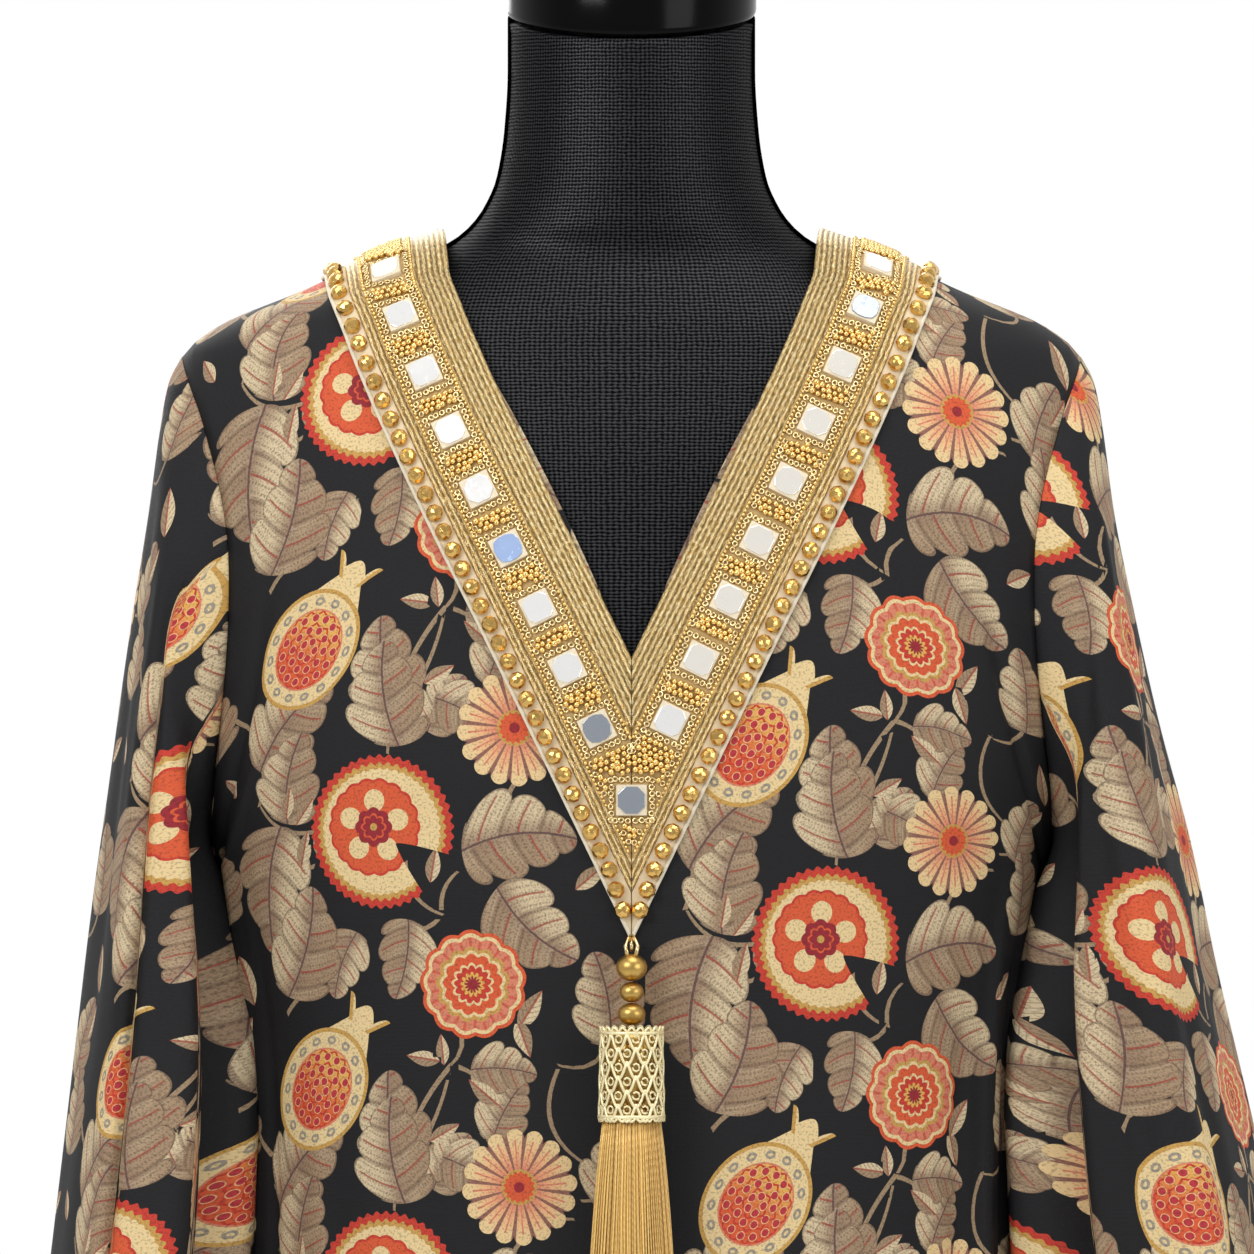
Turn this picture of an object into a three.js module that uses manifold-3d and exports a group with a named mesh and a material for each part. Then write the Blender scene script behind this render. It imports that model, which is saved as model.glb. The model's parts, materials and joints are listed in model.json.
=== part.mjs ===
import * as THREE from "three";
import { mergeVertices } from "three/addons/utils/BufferGeometryUtils.js";
import Module from "manifold-3d";

// A long kaftan with a mirror-work neck band and a tassel, worn by a limbless dress form.
// Millimetres, Z up, the front faces -Y. Heights in the tables are measured from the high
// point of the shoulder, which stands SHOULDER_Z above the floor. Left and right are as
// seen from the front.
const SHOULDER_Z = 1450;
const CLOTH = 1.5;
const SEAM_GAP = 0.3;
const ROUNDNESS = 2.2;
const CORNER_Z = -55;
const UNDERARM_Z = -285;
const HEM_Z = -1392;
const ARMHOLE_REACH = { front: 62, back: 58 };
const SIDE_SIGN = { front: -1, back: 1 };

// Neck band: a tape from the point of the V, over the shoulder and round the back neck.
const BAND_HALF = 27.5;
const BAND_TUCK = 1;
const BAND_GAP = 0.5;
const BEAD_PITCH = 9.2;
const BEAD_RISE = 3.4;
const MIRROR_HALF = 6.8;
const MIRROR_CORNER = 3;
const MIRROR_THICK = 2;
const MIRROR_PITCH = 29.9;
const MIRROR_START = { left: 35, right: 39 };
const MIRRORS_A_SIDE = 9;
const MIRRORS_BACK_SIDE = 4;
const MIRROR_LIFT = 2.7;

// Tassel, hung from the point of the band.
const TASSEL_Y = -136;
const TASSEL_TOP_Z = -315.6;
const STRAND_END_Z = -512;
const LOOP = { radius: 2.6, wire: 0.8, stretch: 2.3, set: 5.2 };
const TASSEL_BEADS = [
  { name: "tassel_bead_1", radius: 6.9, height: 12 },
  { name: "tassel_bead_2", radius: 5.4, height: 9 },
  { name: "tassel_bead_3", radius: 6.2, height: 10 },
];
const CAP = { neck: 5, shoulder: 13, mouth: 14.5, shoulderDrop: 7, height: 43, wall: 1 };
const STRANDS = { head: 11, rooted: 3, radius: 0.9, flatness: 0.5 };
const STRAND_RINGS = [
  { count: 1, shift: 0, root: 0, end: 0 },
  { count: 7, shift: 0, root: 3.5, end: 7 },
  { count: 14, shift: 0.5, root: 6.8, end: 14.5 },
  { count: 20, shift: 0, root: 9.8, end: 22.5 },
];

// Dress form and stand.
const FORM_FOOT_Z = -650;
const NECK_TILT = Math.tan(THREE.MathUtils.degToRad(12));
const POLE_RADIUS = 14;
const BASE_RADIUS = 190;
const BASE_THICK = 14;

// Sections of the kaftan's body, from the crown of the shoulder line down to the hem.
const BODY_RINGS = [
  { z: 26, half: 0.5, front: 30, back: 30 },
  { z: 19, half: 40, front: 44, back: 44 },
  { z: 10, half: 66, front: 52, back: 53 },
  { z: 0, half: 88, front: 59, back: 60 },
  { z: -7, half: 110, front: 62, back: 63 },
  { z: -24, half: 146, front: 69, back: 71 },
  { z: -42, half: 188, front: 76, back: 80 },
  { z: -55, half: 203, front: 81, back: 86 },
  { z: -75, half: 209, front: 89, back: 93 },
  { z: -100, half: 211, front: 98, back: 99 },
  { z: -140, half: 209, front: 108, back: 104 },
  { z: -180, half: 206, front: 116, back: 106 },
  { z: -220, half: 202, front: 121, back: 106 },
  { z: -250, half: 198, front: 123, back: 105 },
  { z: -285, half: 190, front: 123, back: 104 },
  { z: -330, half: 183, front: 121, back: 103 },
  { z: -380, half: 179, front: 118, back: 103 },
  { z: -455, half: 178, front: 117, back: 105 },
  { z: -520, half: 183, front: 119, back: 111 },
  { z: -600, half: 192, front: 123, back: 120 },
  { z: -700, half: 208, front: 130, back: 132 },
  { z: -850, half: 236, front: 142, back: 147 },
  { z: -1000, half: 264, front: 154, back: 160 },
  { z: -1200, half: 296, front: 169, back: 177 },
  { z: -1392, half: 322, front: 184, back: 193 },
];

// Soft folds of the body: place round the panel (-1 and 1 are the side seams), width in the
// same measure, height (ridges up, troughs down) at the hem, and where each one starts.
const FOLDS = [
  { side: "front", at: -0.86, width: 0.06, height: -15, from: -330 },
  { side: "front", at: -0.74, width: 0.07, height: 17, from: -420 },
  { side: "front", at: -0.58, width: 0.06, height: -16, from: -500 },
  { side: "front", at: -0.42, width: 0.08, height: 19, from: -560 },
  { side: "front", at: -0.22, width: 0.07, height: -17, from: -620 },
  { side: "front", at: -0.03, width: 0.09, height: 20, from: -680 },
  { side: "front", at: 0.17, width: 0.07, height: -16, from: -600 },
  { side: "front", at: 0.36, width: 0.08, height: 18, from: -640 },
  { side: "front", at: 0.53, width: 0.06, height: -17, from: -520 },
  { side: "front", at: 0.69, width: 0.07, height: 17, from: -400 },
  { side: "front", at: 0.83, width: 0.05, height: -15, from: -290 },
  { side: "back", at: -0.82, width: 0.07, height: -15, from: -560 },
  { side: "back", at: -0.66, width: 0.07, height: 18, from: -480 },
  { side: "back", at: -0.47, width: 0.07, height: -18, from: -420 },
  { side: "back", at: -0.28, width: 0.08, height: 20, from: -360 },
  { side: "back", at: -0.1, width: 0.06, height: -18, from: -330 },
  { side: "back", at: 0.09, width: 0.08, height: 21, from: -350 },
  { side: "back", at: 0.29, width: 0.07, height: -18, from: -380 },
  { side: "back", at: 0.48, width: 0.08, height: 19, from: -460 },
  { side: "back", at: 0.66, width: 0.06, height: -16, from: -520 },
  { side: "back", at: 0.82, width: 0.06, height: 15, from: -600 },
];

// Sections of the hanging sleeves, from the armhole to the cuff: the outer and inner ends of
// each section, and how far it reaches to the front and to the back.
const SLEEVE_RINGS = [
  { left: 203, right: 203, outerZ: -55, inner: 190, innerZ: -285, reach: 60 },
  { left: 209, right: 209, outerZ: -67, inner: 191.5, innerZ: -291, reach: 64 },
  { left: 213, right: 213, outerZ: -88, inner: 192.5, innerZ: -300, reach: 67 },
  { left: 218, right: 218, outerZ: -125, inner: 190.5, innerZ: -318, reach: 71 },
  { left: 225, right: 227, outerZ: -170, inner: 186, innerZ: -345, reach: 75 },
  { left: 232, right: 238, outerZ: -220, inner: 182, innerZ: -375, reach: 79 },
  { left: 238, right: 250, outerZ: -270, inner: 180.5, innerZ: -408, reach: 84 },
  { left: 244, right: 261, outerZ: -325, inner: 180.5, innerZ: -445, reach: 89 },
  { left: 251, right: 275, outerZ: -385, inner: 182, innerZ: -485, reach: 94 },
  { left: 258, right: 289, outerZ: -445, inner: 186.5, innerZ: -528, reach: 99 },
  { left: 265, right: 302, outerZ: -505, inner: 191.5, innerZ: -570, reach: 103 },
  { left: 271, right: 314, outerZ: -565, inner: 197, innerZ: -612, reach: 107 },
  { left: 277, right: 325, outerZ: -622, inner: 203, innerZ: -652, reach: 110 },
];

// Folds of the sleeves: place round the tube in degrees (0 outermost, 90 front, -90 back).
const SLEEVE_FOLDS = [
  { sleeve: "left", at: 48, width: 17, height: -8, from: 0.25 },
  { sleeve: "left", at: 128, width: 20, height: -9, from: 0.3 },
  { sleeve: "left", at: -52, width: 20, height: -9, from: 0.3 },
  { sleeve: "left", at: -130, width: 22, height: -7, from: 0.4 },
  { sleeve: "right", at: 38, width: 15, height: -10, from: 0.2 },
  { sleeve: "right", at: 74, width: 12, height: 7, from: 0.3 },
  { sleeve: "right", at: 126, width: 22, height: -10, from: 0.3 },
  { sleeve: "right", at: -46, width: 22, height: -10, from: 0.25 },
  { sleeve: "right", at: -128, width: 22, height: -8, from: 0.4 },
];

// Middle line of the band: from the point of the V, and from the back neck, to the shoulder.
// The back's first row is its second one mirrored, which levels the line at the middle.
const BACK_MIDDLE_Z = -52;
const BAND_LINE = [
  { side: "front", x: 0, z: -254 },
  { side: "front", x: 16, z: -221 },
  { side: "front", x: 41, z: -170 },
  { side: "front", x: 67, z: -118 },
  { side: "front", x: 80, z: -91 },
  { side: "front", x: 91.5, z: -66 },
  { side: "front", x: 101.5, z: -42 },
  { side: "front", x: 109, z: -22 },
  { side: "front", x: 114, z: -8.5 },
  { side: "back", x: -38, z: -50 },
  { side: "back", x: 0, z: BACK_MIDDLE_Z },
  { side: "back", x: 38, z: -50 },
  { side: "back", x: 74, z: -43 },
  { side: "back", x: 100, z: -29 },
  { side: "back", x: 111, z: -16 },
  { side: "back", x: 114, z: -8.5 },
];

// Cross-section of the band from its inner to its outer edge: braid, bead ground, braid,
// pale tape with the large beads, and the piped edge.
const BAND_PROFILE = [
  { out: -27.5, lift: 2, beads: false },
  { out: -12, lift: 2.2, beads: false },
  { out: 0, lift: 1.5, beads: false },
  { out: 10.5, lift: 1.5, beads: false },
  { out: 17.5, lift: 1.9, beads: false },
  { out: 22.3, lift: 1.6, beads: true },
  { out: 27.5, lift: 1.3, beads: false },
];

// Sections of the dress form, from its neck to its foot.
const FORM_RINGS = [
  { z: 98, half: 56, front: 55, back: 55, tilt: 1 },
  { z: 74, half: 56, front: 55, back: 56, tilt: 0.6 },
  { z: 48, half: 57.5, front: 56, back: 58, tilt: 0.2 },
  { z: 26, half: 61, front: 57, back: 60, tilt: 0 },
  { z: 12, half: 67, front: 57, back: 61, tilt: 0 },
  { z: 2, half: 75, front: 57, back: 58, tilt: 0 },
  { z: -6, half: 87, front: 55, back: 54, tilt: 0 },
  { z: -14, half: 107, front: 57, back: 57, tilt: 0 },
  { z: -24, half: 132, front: 62, back: 64, tilt: 0 },
  { z: -42, half: 173, front: 70, back: 73, tilt: 0 },
  { z: -55, half: 188, front: 75, back: 79, tilt: 0 },
  { z: -75, half: 191, front: 83, back: 86, tilt: 0 },
  { z: -100, half: 185, front: 92, back: 92, tilt: 0 },
  { z: -140, half: 173, front: 102, back: 97, tilt: 0 },
  { z: -180, half: 165, front: 110, back: 99, tilt: 0 },
  { z: -240, half: 160, front: 117, back: 98, tilt: 0 },
  { z: -285, half: 156, front: 115, back: 94, tilt: 0 },
  { z: -330, half: 146, front: 105, back: 89, tilt: 0 },
  { z: -390, half: 126, front: 89, back: 82, tilt: 0 },
  { z: -440, half: 120, front: 84, back: 81, tilt: 0 },
  { z: -500, half: 134, front: 89, back: 91, tilt: 0 },
  { z: -570, half: 154, front: 98, back: 104, tilt: 0 },
  { z: -620, half: 162, front: 101, back: 109, tilt: 0 },
  { z: -650, half: 163, front: 101, back: 110, tilt: 0 },
];

// Rings of the gloss neck cap, as tilted as the neck's top.
const NECK_CAP_RINGS = [
  { lift: 0.3, half: 57, front: 56, back: 56 },
  { lift: 16, half: 57, front: 56, back: 56 },
  { lift: 20, half: 54, front: 53, back: 53 },
  { lift: 22, half: 47, front: 46, back: 46 },
];

const lerp = THREE.MathUtils.lerp;
const clamp = THREE.MathUtils.clamp;
const radians = THREE.MathUtils.degToRad;
const signedPower = (value, power) => Math.sign(value) * Math.abs(value) ** power;

// A smooth curve through two named columns of a table, which never overshoots its rows.
function curve(table, from, to) {
  const rows = [...table].sort((a, b) => a[from] - b[from]);
  const at = rows.map((row) => row[from]);
  const value = rows.map((row) => row[to]);
  const step = at.slice(1).map((v, i) => v - at[i]);
  const rise = step.map((h, i) => (value[i + 1] - value[i]) / h);
  const slope = value.map((_, i) => {
    if (i === 0) return rise[0];
    if (i === step.length) return rise[i - 1];
    const product = rise[i - 1] * rise[i];
    return product <= 0 ? 0 : (2 * product) / (rise[i - 1] + rise[i]);
  });
  return (where) => {
    const v = clamp(where, at[0], at[at.length - 1]);
    let i = 0;
    while (i < step.length - 1 && v > at[i + 1]) i += 1;
    const t = (v - at[i]) / step[i];
    const start = value[i] * (1 + 2 * t) + slope[i] * step[i] * t;
    const end = value[i + 1] * (3 - 2 * t) + slope[i + 1] * step[i] * (t - 1);
    return start * (1 - t) ** 2 + end * t * t;
  };
}

// Finds where a rising function reaches a value.
function solve(rising, value, low, high) {
  let a = low;
  let b = high;
  for (let i = 0; i < 40; i += 1) {
    const middle = (a + b) / 2;
    if (rising(middle) < value) a = middle;
    else b = middle;
  }
  return (a + b) / 2;
}

const halfAt = curve(BODY_RINGS, "z", "half");
const reachAt = {
  front: curve(BODY_RINGS, "z", "front"),
  back: curve(BODY_RINGS, "z", "back"),
};

// Height of the shoulder line over a distance from the middle.
const shoulderLine = (x) => -solve((drop) => halfAt(-drop), Math.abs(x), -26, -CORNER_Z + 5);

// Depth (y) of the body's front or back at a place in the front view, above the underarm.
function bodyY(x, z, side) {
  const inside = 1 - (Math.abs(x) / halfAt(z)) ** ROUNDNESS;
  return SIDE_SIGN[side] * reachAt[side](z) * Math.max(inside, 0) ** (1 / ROUNDNESS);
}

// Outward direction of the body's smooth surface at a point on it.
function bodyNormal(point, side) {
  const half = halfAt(point.z);
  const reach = reachAt[side](point.z);
  const halfSlope = halfAt(point.z + 0.5) - halfAt(point.z - 0.5);
  const reachSlope = reachAt[side](point.z + 0.5) - reachAt[side](point.z - 0.5);
  const across = Math.abs(point.x) / half;
  const deep = Math.abs(point.y) / reach;
  return new THREE.Vector3(
    (Math.sign(point.x) * across ** (ROUNDNESS - 1)) / half,
    (SIDE_SIGN[side] * deep ** (ROUNDNESS - 1)) / reach,
    -(across ** ROUNDNESS * halfSlope) / half - (deep ** ROUNDNESS * reachSlope) / reach,
  ).normalize();
}

// The body's upright line at a distance from the middle, from the shoulder line down to the
// underarm, with the length of cloth from its top.
function bodyLine(x, side) {
  const top = shoulderLine(x);
  const steps = 60;
  const line = [{ z: top, y: bodyY(x, top, side), run: 0 }];
  for (let i = 1; i <= steps; i += 1) {
    const z = lerp(top, UNDERARM_Z - 40, (i / steps) ** 2);
    const y = bodyY(x, z, side);
    const last = line[line.length - 1];
    line.push({ z, y, run: last.run + Math.hypot(z - last.z, y - last.y) });
  }
  return line;
}

// A point on the body found on the opened-out cloth: its distance from the middle, and how
// far up the cloth it lies.
function onBody(x, up, side) {
  const line = bodyLine(x, side);
  const run = clamp(line[line.length - 1].run - up, 0, line[line.length - 1].run);
  let i = 1;
  while (i < line.length - 1 && line[i].run < run) i += 1;
  const share = (run - line[i - 1].run) / (line[i].run - line[i - 1].run);
  const y = lerp(line[i - 1].y, line[i].y, share);
  return new THREE.Vector3(x, y, lerp(line[i - 1].z, line[i].z, share));
}

const clothLength = (x, side) => bodyLine(x, side)[60].run;
const upBody = (x, z, side) => solve((up) => onBody(x, up, side).z, z, 0, 420);

// The band's middle line as a dense row of stations on the opened-out cloth.
function bandStations(side) {
  const marks = [];
  let run = 0;
  for (const row of BAND_LINE.filter((mark) => mark.side === side)) {
    const mark = { x: row.x, up: upBody(row.x, row.z, side) };
    const last = marks[marks.length - 1];
    if (last) run += Math.hypot(mark.x - last.x, mark.up - last.up);
    marks.push({ ...mark, run });
  }
  const x = curve(marks, "run", "x");
  const up = curve(marks, "run", "up");
  const stations = [];
  let length = 0;
  for (let i = 0; i <= 200; i += 1) {
    const here = { x: x((run * i) / 200), up: up((run * i) / 200) };
    const last = stations[stations.length - 1];
    if (last) length += Math.hypot(here.x - last.x, here.up - last.up);
    stations.push({ ...here, length });
  }
  return stations;
}

const STATIONS = { front: bandStations("front"), back: bandStations("back") };

// A place on the band: distance along its middle line from the middle of the body towards
// the shoulder, and distance out from that line, away from the neck.
function onBand(side, length, out) {
  const stations = STATIONS[side];
  const last = stations.length - 1;
  const at = clamp(length, 0.01, stations[last].length - 0.01);
  let i = 1;
  while (i < last && stations[i].length < at) i += 1;
  const from = stations[i - 1];
  const step = stations[i].length - from.length;
  const heading = { x: (stations[i].x - from.x) / step, up: (stations[i].up - from.up) / step };
  const run = length - from.length;
  return {
    side,
    x: from.x + heading.x * run + heading.up * out,
    up: from.up + heading.up * run - heading.x * out,
  };
}

// Where the band's lines meet the middle of the body and the shoulder seam.
const middleOf = (side, out, x) => solve((run) => onBand(side, run, out).x, x, -120, 120);
function seamOf(side, out) {
  const short = (run) => {
    const place = onBand(side, run, out);
    return place.up - clothLength(place.x, side);
  };
  return solve(short, 0, 60, STATIONS[side][200].length + 60);
}

// A point over the body, moved out from the cloth's outer face.
function overBody({ x, up, side }, lift) {
  const point = onBody(x, up, side);
  return point.clone().addScaledVector(bodyNormal(point, side), lift);
}

const NECK_OUT = BAND_TUCK - BAND_HALF;
const NECK_SEAM = { front: seamOf("front", NECK_OUT), back: seamOf("back", NECK_OUT) };
const NECK_HALF = onBand("front", NECK_SEAM.front, NECK_OUT).x;

// Neck edge of a panel: how high the cloth reaches at a distance from the middle.
function neckEdge(x, side) {
  const length = solve((run) => onBand(side, run, NECK_OUT).x, x, -30, NECK_SEAM[side]);
  return onBody(x, onBand(side, length, NECK_OUT).up, side).z;
}

// Armhole edge: how far out the cloth reaches at a height.
function armholeX(z, side) {
  if (z >= CORNER_Z) return halfAt(CORNER_Z);
  const middle = (CORNER_Z + UNDERARM_Z) / 2;
  const away = clamp((z - middle) / (CORNER_Z - middle), -1, 1);
  const y = ARMHOLE_REACH[side] * Math.sqrt(1 - away * away);
  return halfAt(z) * (1 - (y / reachAt[side](z)) ** ROUNDNESS) ** (1 / ROUNDNESS);
}

// A point of the body below the underarm: place round the panel, and height.
function skirtPoint(place, z, side) {
  const angle = (place * Math.PI) / 2;
  const x = halfAt(z) * signedPower(Math.sin(angle), 2 / ROUNDNESS);
  const y = SIDE_SIGN[side] * reachAt[side](z) * Math.cos(angle) ** (2 / ROUNDNESS);
  const normal = new THREE.Vector3(x / halfAt(z) ** 2, y / reachAt[side](z) ** 2, 0).normalize();
  let height = 0;
  for (const fold of FOLDS) {
    if (fold.side !== side || z > fold.from) continue;
    const growth = ((fold.from - z) / (fold.from - HEM_Z)) ** 1.15;
    height += fold.height * growth * Math.exp(-(((place - fold.at) / fold.width) ** 2));
  }
  height *= 1 - Math.abs(place) ** 12;
  return new THREE.Vector3(x, y, z).addScaledVector(normal, height);
}

// Columns of a panel from side seam to side seam: even round the body below the underarm,
// while above it they fan out to equal steps along the neck edge and along the shoulder.
function panelColumns(side, neckColumns, shoulderColumns) {
  const start = middleOf(side, NECK_OUT, 0);
  const count = neckColumns + shoulderColumns;
  const right = [];
  for (let i = 1; i <= count; i += 1) {
    const onNeck = lerp(start, NECK_SEAM[side], (i / neckColumns) ** 0.85);
    const neckX = i < neckColumns ? onBand(side, onNeck, NECK_OUT).x : NECK_HALF;
    const onShoulder = Math.max(i - neckColumns, 0) / shoulderColumns;
    right.push({ place: i / count, top: lerp(neckX, halfAt(CORNER_Z), onShoulder) });
  }
  const left = right.map(({ place, top }) => ({ place: -place, top: -top })).reverse();
  return [...left, { place: 0, top: 0 }, ...right];
}

// Shares of the way up from the underarm, close together at both ends.
const rise = (i, rows) => (1 - Math.cos((Math.PI * i) / rows)) / 2;

// Outer face of the front or back panel, row by row from the hem to the neck and shoulders.
function panelGrid(side, columns, lowRows, highRows) {
  const grid = [];
  for (let i = 0; i <= lowRows; i += 1) {
    const z = UNDERARM_Z + (HEM_Z - UNDERARM_Z) * (1 - i / lowRows) ** 1.3;
    grid.push(columns.map(({ place }) => skirtPoint(place, z, side)));
  }
  const topHeights = columns.map(({ top }) => {
    if (Math.abs(top) < NECK_HALF - 0.01) return neckEdge(Math.abs(top), side);
    return Math.max(shoulderLine(top), CORNER_Z);
  });
  for (let i = 1; i <= highRows; i += 1) {
    const share = rise(i, highRows);
    grid.push(
      columns.map(({ place, top }, c) => {
        const low = signedPower(Math.sin((place * Math.PI) / 2), 2 / ROUNDNESS);
        const across = lerp(low, top / halfAt(CORNER_Z), share);
        const z = lerp(UNDERARM_Z, topHeights[c], share);
        const x = armholeX(z, side) * across;
        return new THREE.Vector3(x, bodyY(x, z, side), z);
      }),
    );
  }
  return grid;
}

// Outward directions at the points of a grid.
function gridNormals(grid, around) {
  const rows = grid.length;
  const columns = grid[0].length;
  return grid.map((row, r) =>
    row.map((_, c) => {
      const before = around ? (c + columns - 1) % columns : Math.max(c - 1, 0);
      const after = around ? (c + 1) % columns : Math.min(c + 1, columns - 1);
      const below = grid[Math.max(r - 1, 0)][c];
      const above = grid[Math.min(r + 1, rows - 1)][c];
      const across = new THREE.Vector3().subVectors(row[after], row[before]);
      const up = new THREE.Vector3().subVectors(above, below);
      return across.cross(up).normalize();
    }),
  );
}

const moved = (grid, normals, distance) =>
  grid.map((row, r) => row.map((p, c) => p.clone().addScaledVector(normals[r][c], distance)));

// A closed wall between two matching grids of points, or round a tube of them.
function wall(outer, inner, around) {
  const rows = outer.length;
  const columns = outer[0].length;
  const points = [...outer.flat(), ...inner.flat()];
  const index = [];
  const quad = (a, b, c, d) => index.push(a, b, c, a, c, d);
  const out = (r, c) => r * columns + (c % columns);
  const back = (r, c) => rows * columns + out(r, c);
  const last = rows - 1;
  const across = around ? columns : columns - 1;
  for (let c = 0; c < across; c += 1) {
    for (let r = 0; r < last; r += 1) {
      quad(out(r, c), out(r, c + 1), out(r + 1, c + 1), out(r + 1, c));
      quad(back(r, c), back(r + 1, c), back(r + 1, c + 1), back(r, c + 1));
    }
    quad(out(0, c + 1), out(0, c), back(0, c), back(0, c + 1));
    quad(out(last, c), out(last, c + 1), back(last, c + 1), back(last, c));
  }
  for (let r = 0; r < last && !around; r += 1) {
    quad(out(r, 0), out(r + 1, 0), back(r + 1, 0), back(r, 0));
    quad(out(r + 1, across), out(r, across), back(r, across), back(r + 1, across));
  }
  return solid(points, index);
}

// A closed stack of rings with flat ends.
function stack(rings) {
  const count = rings[0].length;
  const points = rings.flat();
  const index = [];
  for (let r = 0; r < rings.length - 1; r += 1) {
    for (let c = 0; c < count; c += 1) {
      const next = (c + 1) % count;
      const low = r * count;
      const high = low + count;
      index.push(low + c, low + next, high + next, low + c, high + next, high + c);
    }
  }
  const top = (rings.length - 1) * count;
  for (let c = 1; c < count - 1; c += 1) {
    index.push(0, c + 1, c, top, top + c, top + c + 1);
  }
  return solid(points, index);
}

// Points and faces as a geometry whose faces look out.
function solid(points, index) {
  let volume = 0;
  for (let i = 0; i < index.length; i += 3) {
    const [a, b, c] = [points[index[i]], points[index[i + 1]], points[index[i + 2]]];
    volume += a.dot(new THREE.Vector3().crossVectors(b, c));
  }
  const faces = volume < 0 ? [...index].reverse() : index;
  const geometry = new THREE.BufferGeometry();
  const numbers = new Float32Array(points.flatMap((p) => [p.x, p.y, p.z]));
  geometry.setAttribute("position", new THREE.BufferAttribute(numbers, 3));
  geometry.setIndex(faces);
  geometry.computeVertexNormals();
  return geometry;
}

const material = (color, roughness, metalness) =>
  new THREE.MeshStandardMaterial({ color, roughness, metalness });

const CLOTH_BLACK = material(0x1c1d21, 0.85, 0);
const BAND_GOLD = material(0xb98f4a, 0.45, 0.7);
const MIRROR_GLASS = material(0xd8dcdc, 0.08, 1);
const BEAD_GOLD = material(0xc89a4a, 0.3, 0.9);
const CAP_GOLD = material(0xe3ce8e, 0.35, 0.8);
const THREAD_GOLD = material(0xc49750, 0.6, 0.2);
const FORM_BLACK = material(0x111113, 0.9, 0);
const GLOSS_BLACK = material(0x0b0b0c, 0.2, 0);
const STAND_BLACK = material(0x161617, 0.45, 0.3);

const kaftan = new THREE.Group();
kaftan.name = "embroidered_kaftan";
kaftan.position.z = SHOULDER_Z;

function add(name, geometry, look) {
  const mesh = new THREE.Mesh(geometry, look);
  mesh.name = name;
  kaftan.add(mesh);
}

// Front and back panels, parted by half the seam gap each.
const NECK_COLUMNS = 7;
const SHOULDER_COLUMNS = 6;
const LOW_ROWS = 11;
const HIGH_ROWS = 9;
const panels = {};
for (const side of ["front", "back"]) {
  const columns = panelColumns(side, NECK_COLUMNS, SHOULDER_COLUMNS);
  const grid = panelGrid(side, columns, LOW_ROWS, HIGH_ROWS);
  const facing = side === "front" ? 1 : -1;
  const normals = gridNormals(grid, false).map((row) => row.map((n) => n.multiplyScalar(facing)));
  const edge = (SIDE_SIGN[side] * SEAM_GAP) / 2;
  const kept = (row) =>
    row.map((p) => p.setY(side === "front" ? Math.min(p.y, edge) : Math.max(p.y, edge)));
  const outer = grid.map(kept);
  const inner = moved(grid, normals, -CLOTH).map(kept);
  panels[side] = { outer, normals };
  add(side, wall(outer, inner, false), CLOTH_BLACK);
}

// The sleeves keep to the armhole's own line over the first share of their length.
const SLEEVE_STEPS = 12;
const ARMHOLE_FADE = 0.25;
const numbered = SLEEVE_RINGS.map((row, place) => ({ ...row, place }));
const SLEEVE_CURVES = {};
for (const column of ["left", "right", "inner", "outerZ", "innerZ", "reach"]) {
  SLEEVE_CURVES[column] = curve(numbered, "place", column);
}

// Height of a sleeve's folds at a place round it, a share of the way down.
function sleeveFold(sleeve, degrees, share) {
  let height = 0;
  for (const fold of SLEEVE_FOLDS) {
    if (fold.sleeve !== sleeve || share < fold.from) continue;
    const away = ((degrees - fold.at + 540) % 360) - 180;
    const growth = (share - fold.from) / (1 - fold.from);
    height += fold.height * growth * Math.exp(-((away / fold.width) ** 2));
  }
  return height;
}

// A sleeve section: outermost point first, then down the front and up the back. Down the
// sleeve it turns from an oval into a flatter fold with a broad front and back.
function sleeveRing(sleeve, row, degrees) {
  const place = (row * (SLEEVE_RINGS.length - 1)) / SLEEVE_STEPS;
  const at = (column) => SLEEVE_CURVES[column](place);
  const share = row / SLEEVE_STEPS;
  const power = 1 - 0.36 * Math.min(share * 2.5, 1);
  const middle = { x: (at(sleeve) + at("inner")) / 2, z: (at("outerZ") + at("innerZ")) / 2 };
  const arm = { x: (at(sleeve) - at("inner")) / 2, z: (at("outerZ") - at("innerZ")) / 2 };
  return degrees.map((degree) => {
    const turn = radians(degree);
    const across = signedPower(Math.cos(turn), power);
    const reach = at("reach") + sleeveFold(sleeve, degree, share) * Math.abs(Math.sin(turn));
    const out = 1 + sleeveFold(sleeve, degree, share) / at("reach");
    return new THREE.Vector3(
      middle.x + arm.x * across * out,
      -reach * signedPower(Math.sin(turn), power),
      middle.z + arm.z * across,
    );
  });
}

// The sleeve starts on the panels' own armhole points, a seam gap out along the cloth.
function armholeEdge(sleeve) {
  const column = sleeve === "left" ? 0 : panels.front.outer[0].length - 1;
  const inward = sleeve === "left" ? 1 : -1;
  const rim = (side, r) => {
    const { outer, normals } = panels[side];
    const point = outer[LOW_ROWS + r][column];
    const away = new THREE.Vector3().subVectors(point, outer[LOW_ROWS + r][column + inward]);
    const normal = normals[LOW_ROWS + r][column];
    const step = away.addScaledVector(normal, -away.dot(normal)).setZ(0).normalize();
    return { point: point.clone().addScaledVector(step, SEAM_GAP + 0.1), normal };
  };
  const edge = [];
  for (let r = HIGH_ROWS; r >= 0; r -= 1) edge.push(rim("front", r));
  for (let r = 1; r < HIGH_ROWS; r += 1) edge.push(rim("back", r));
  return edge;
}

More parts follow.
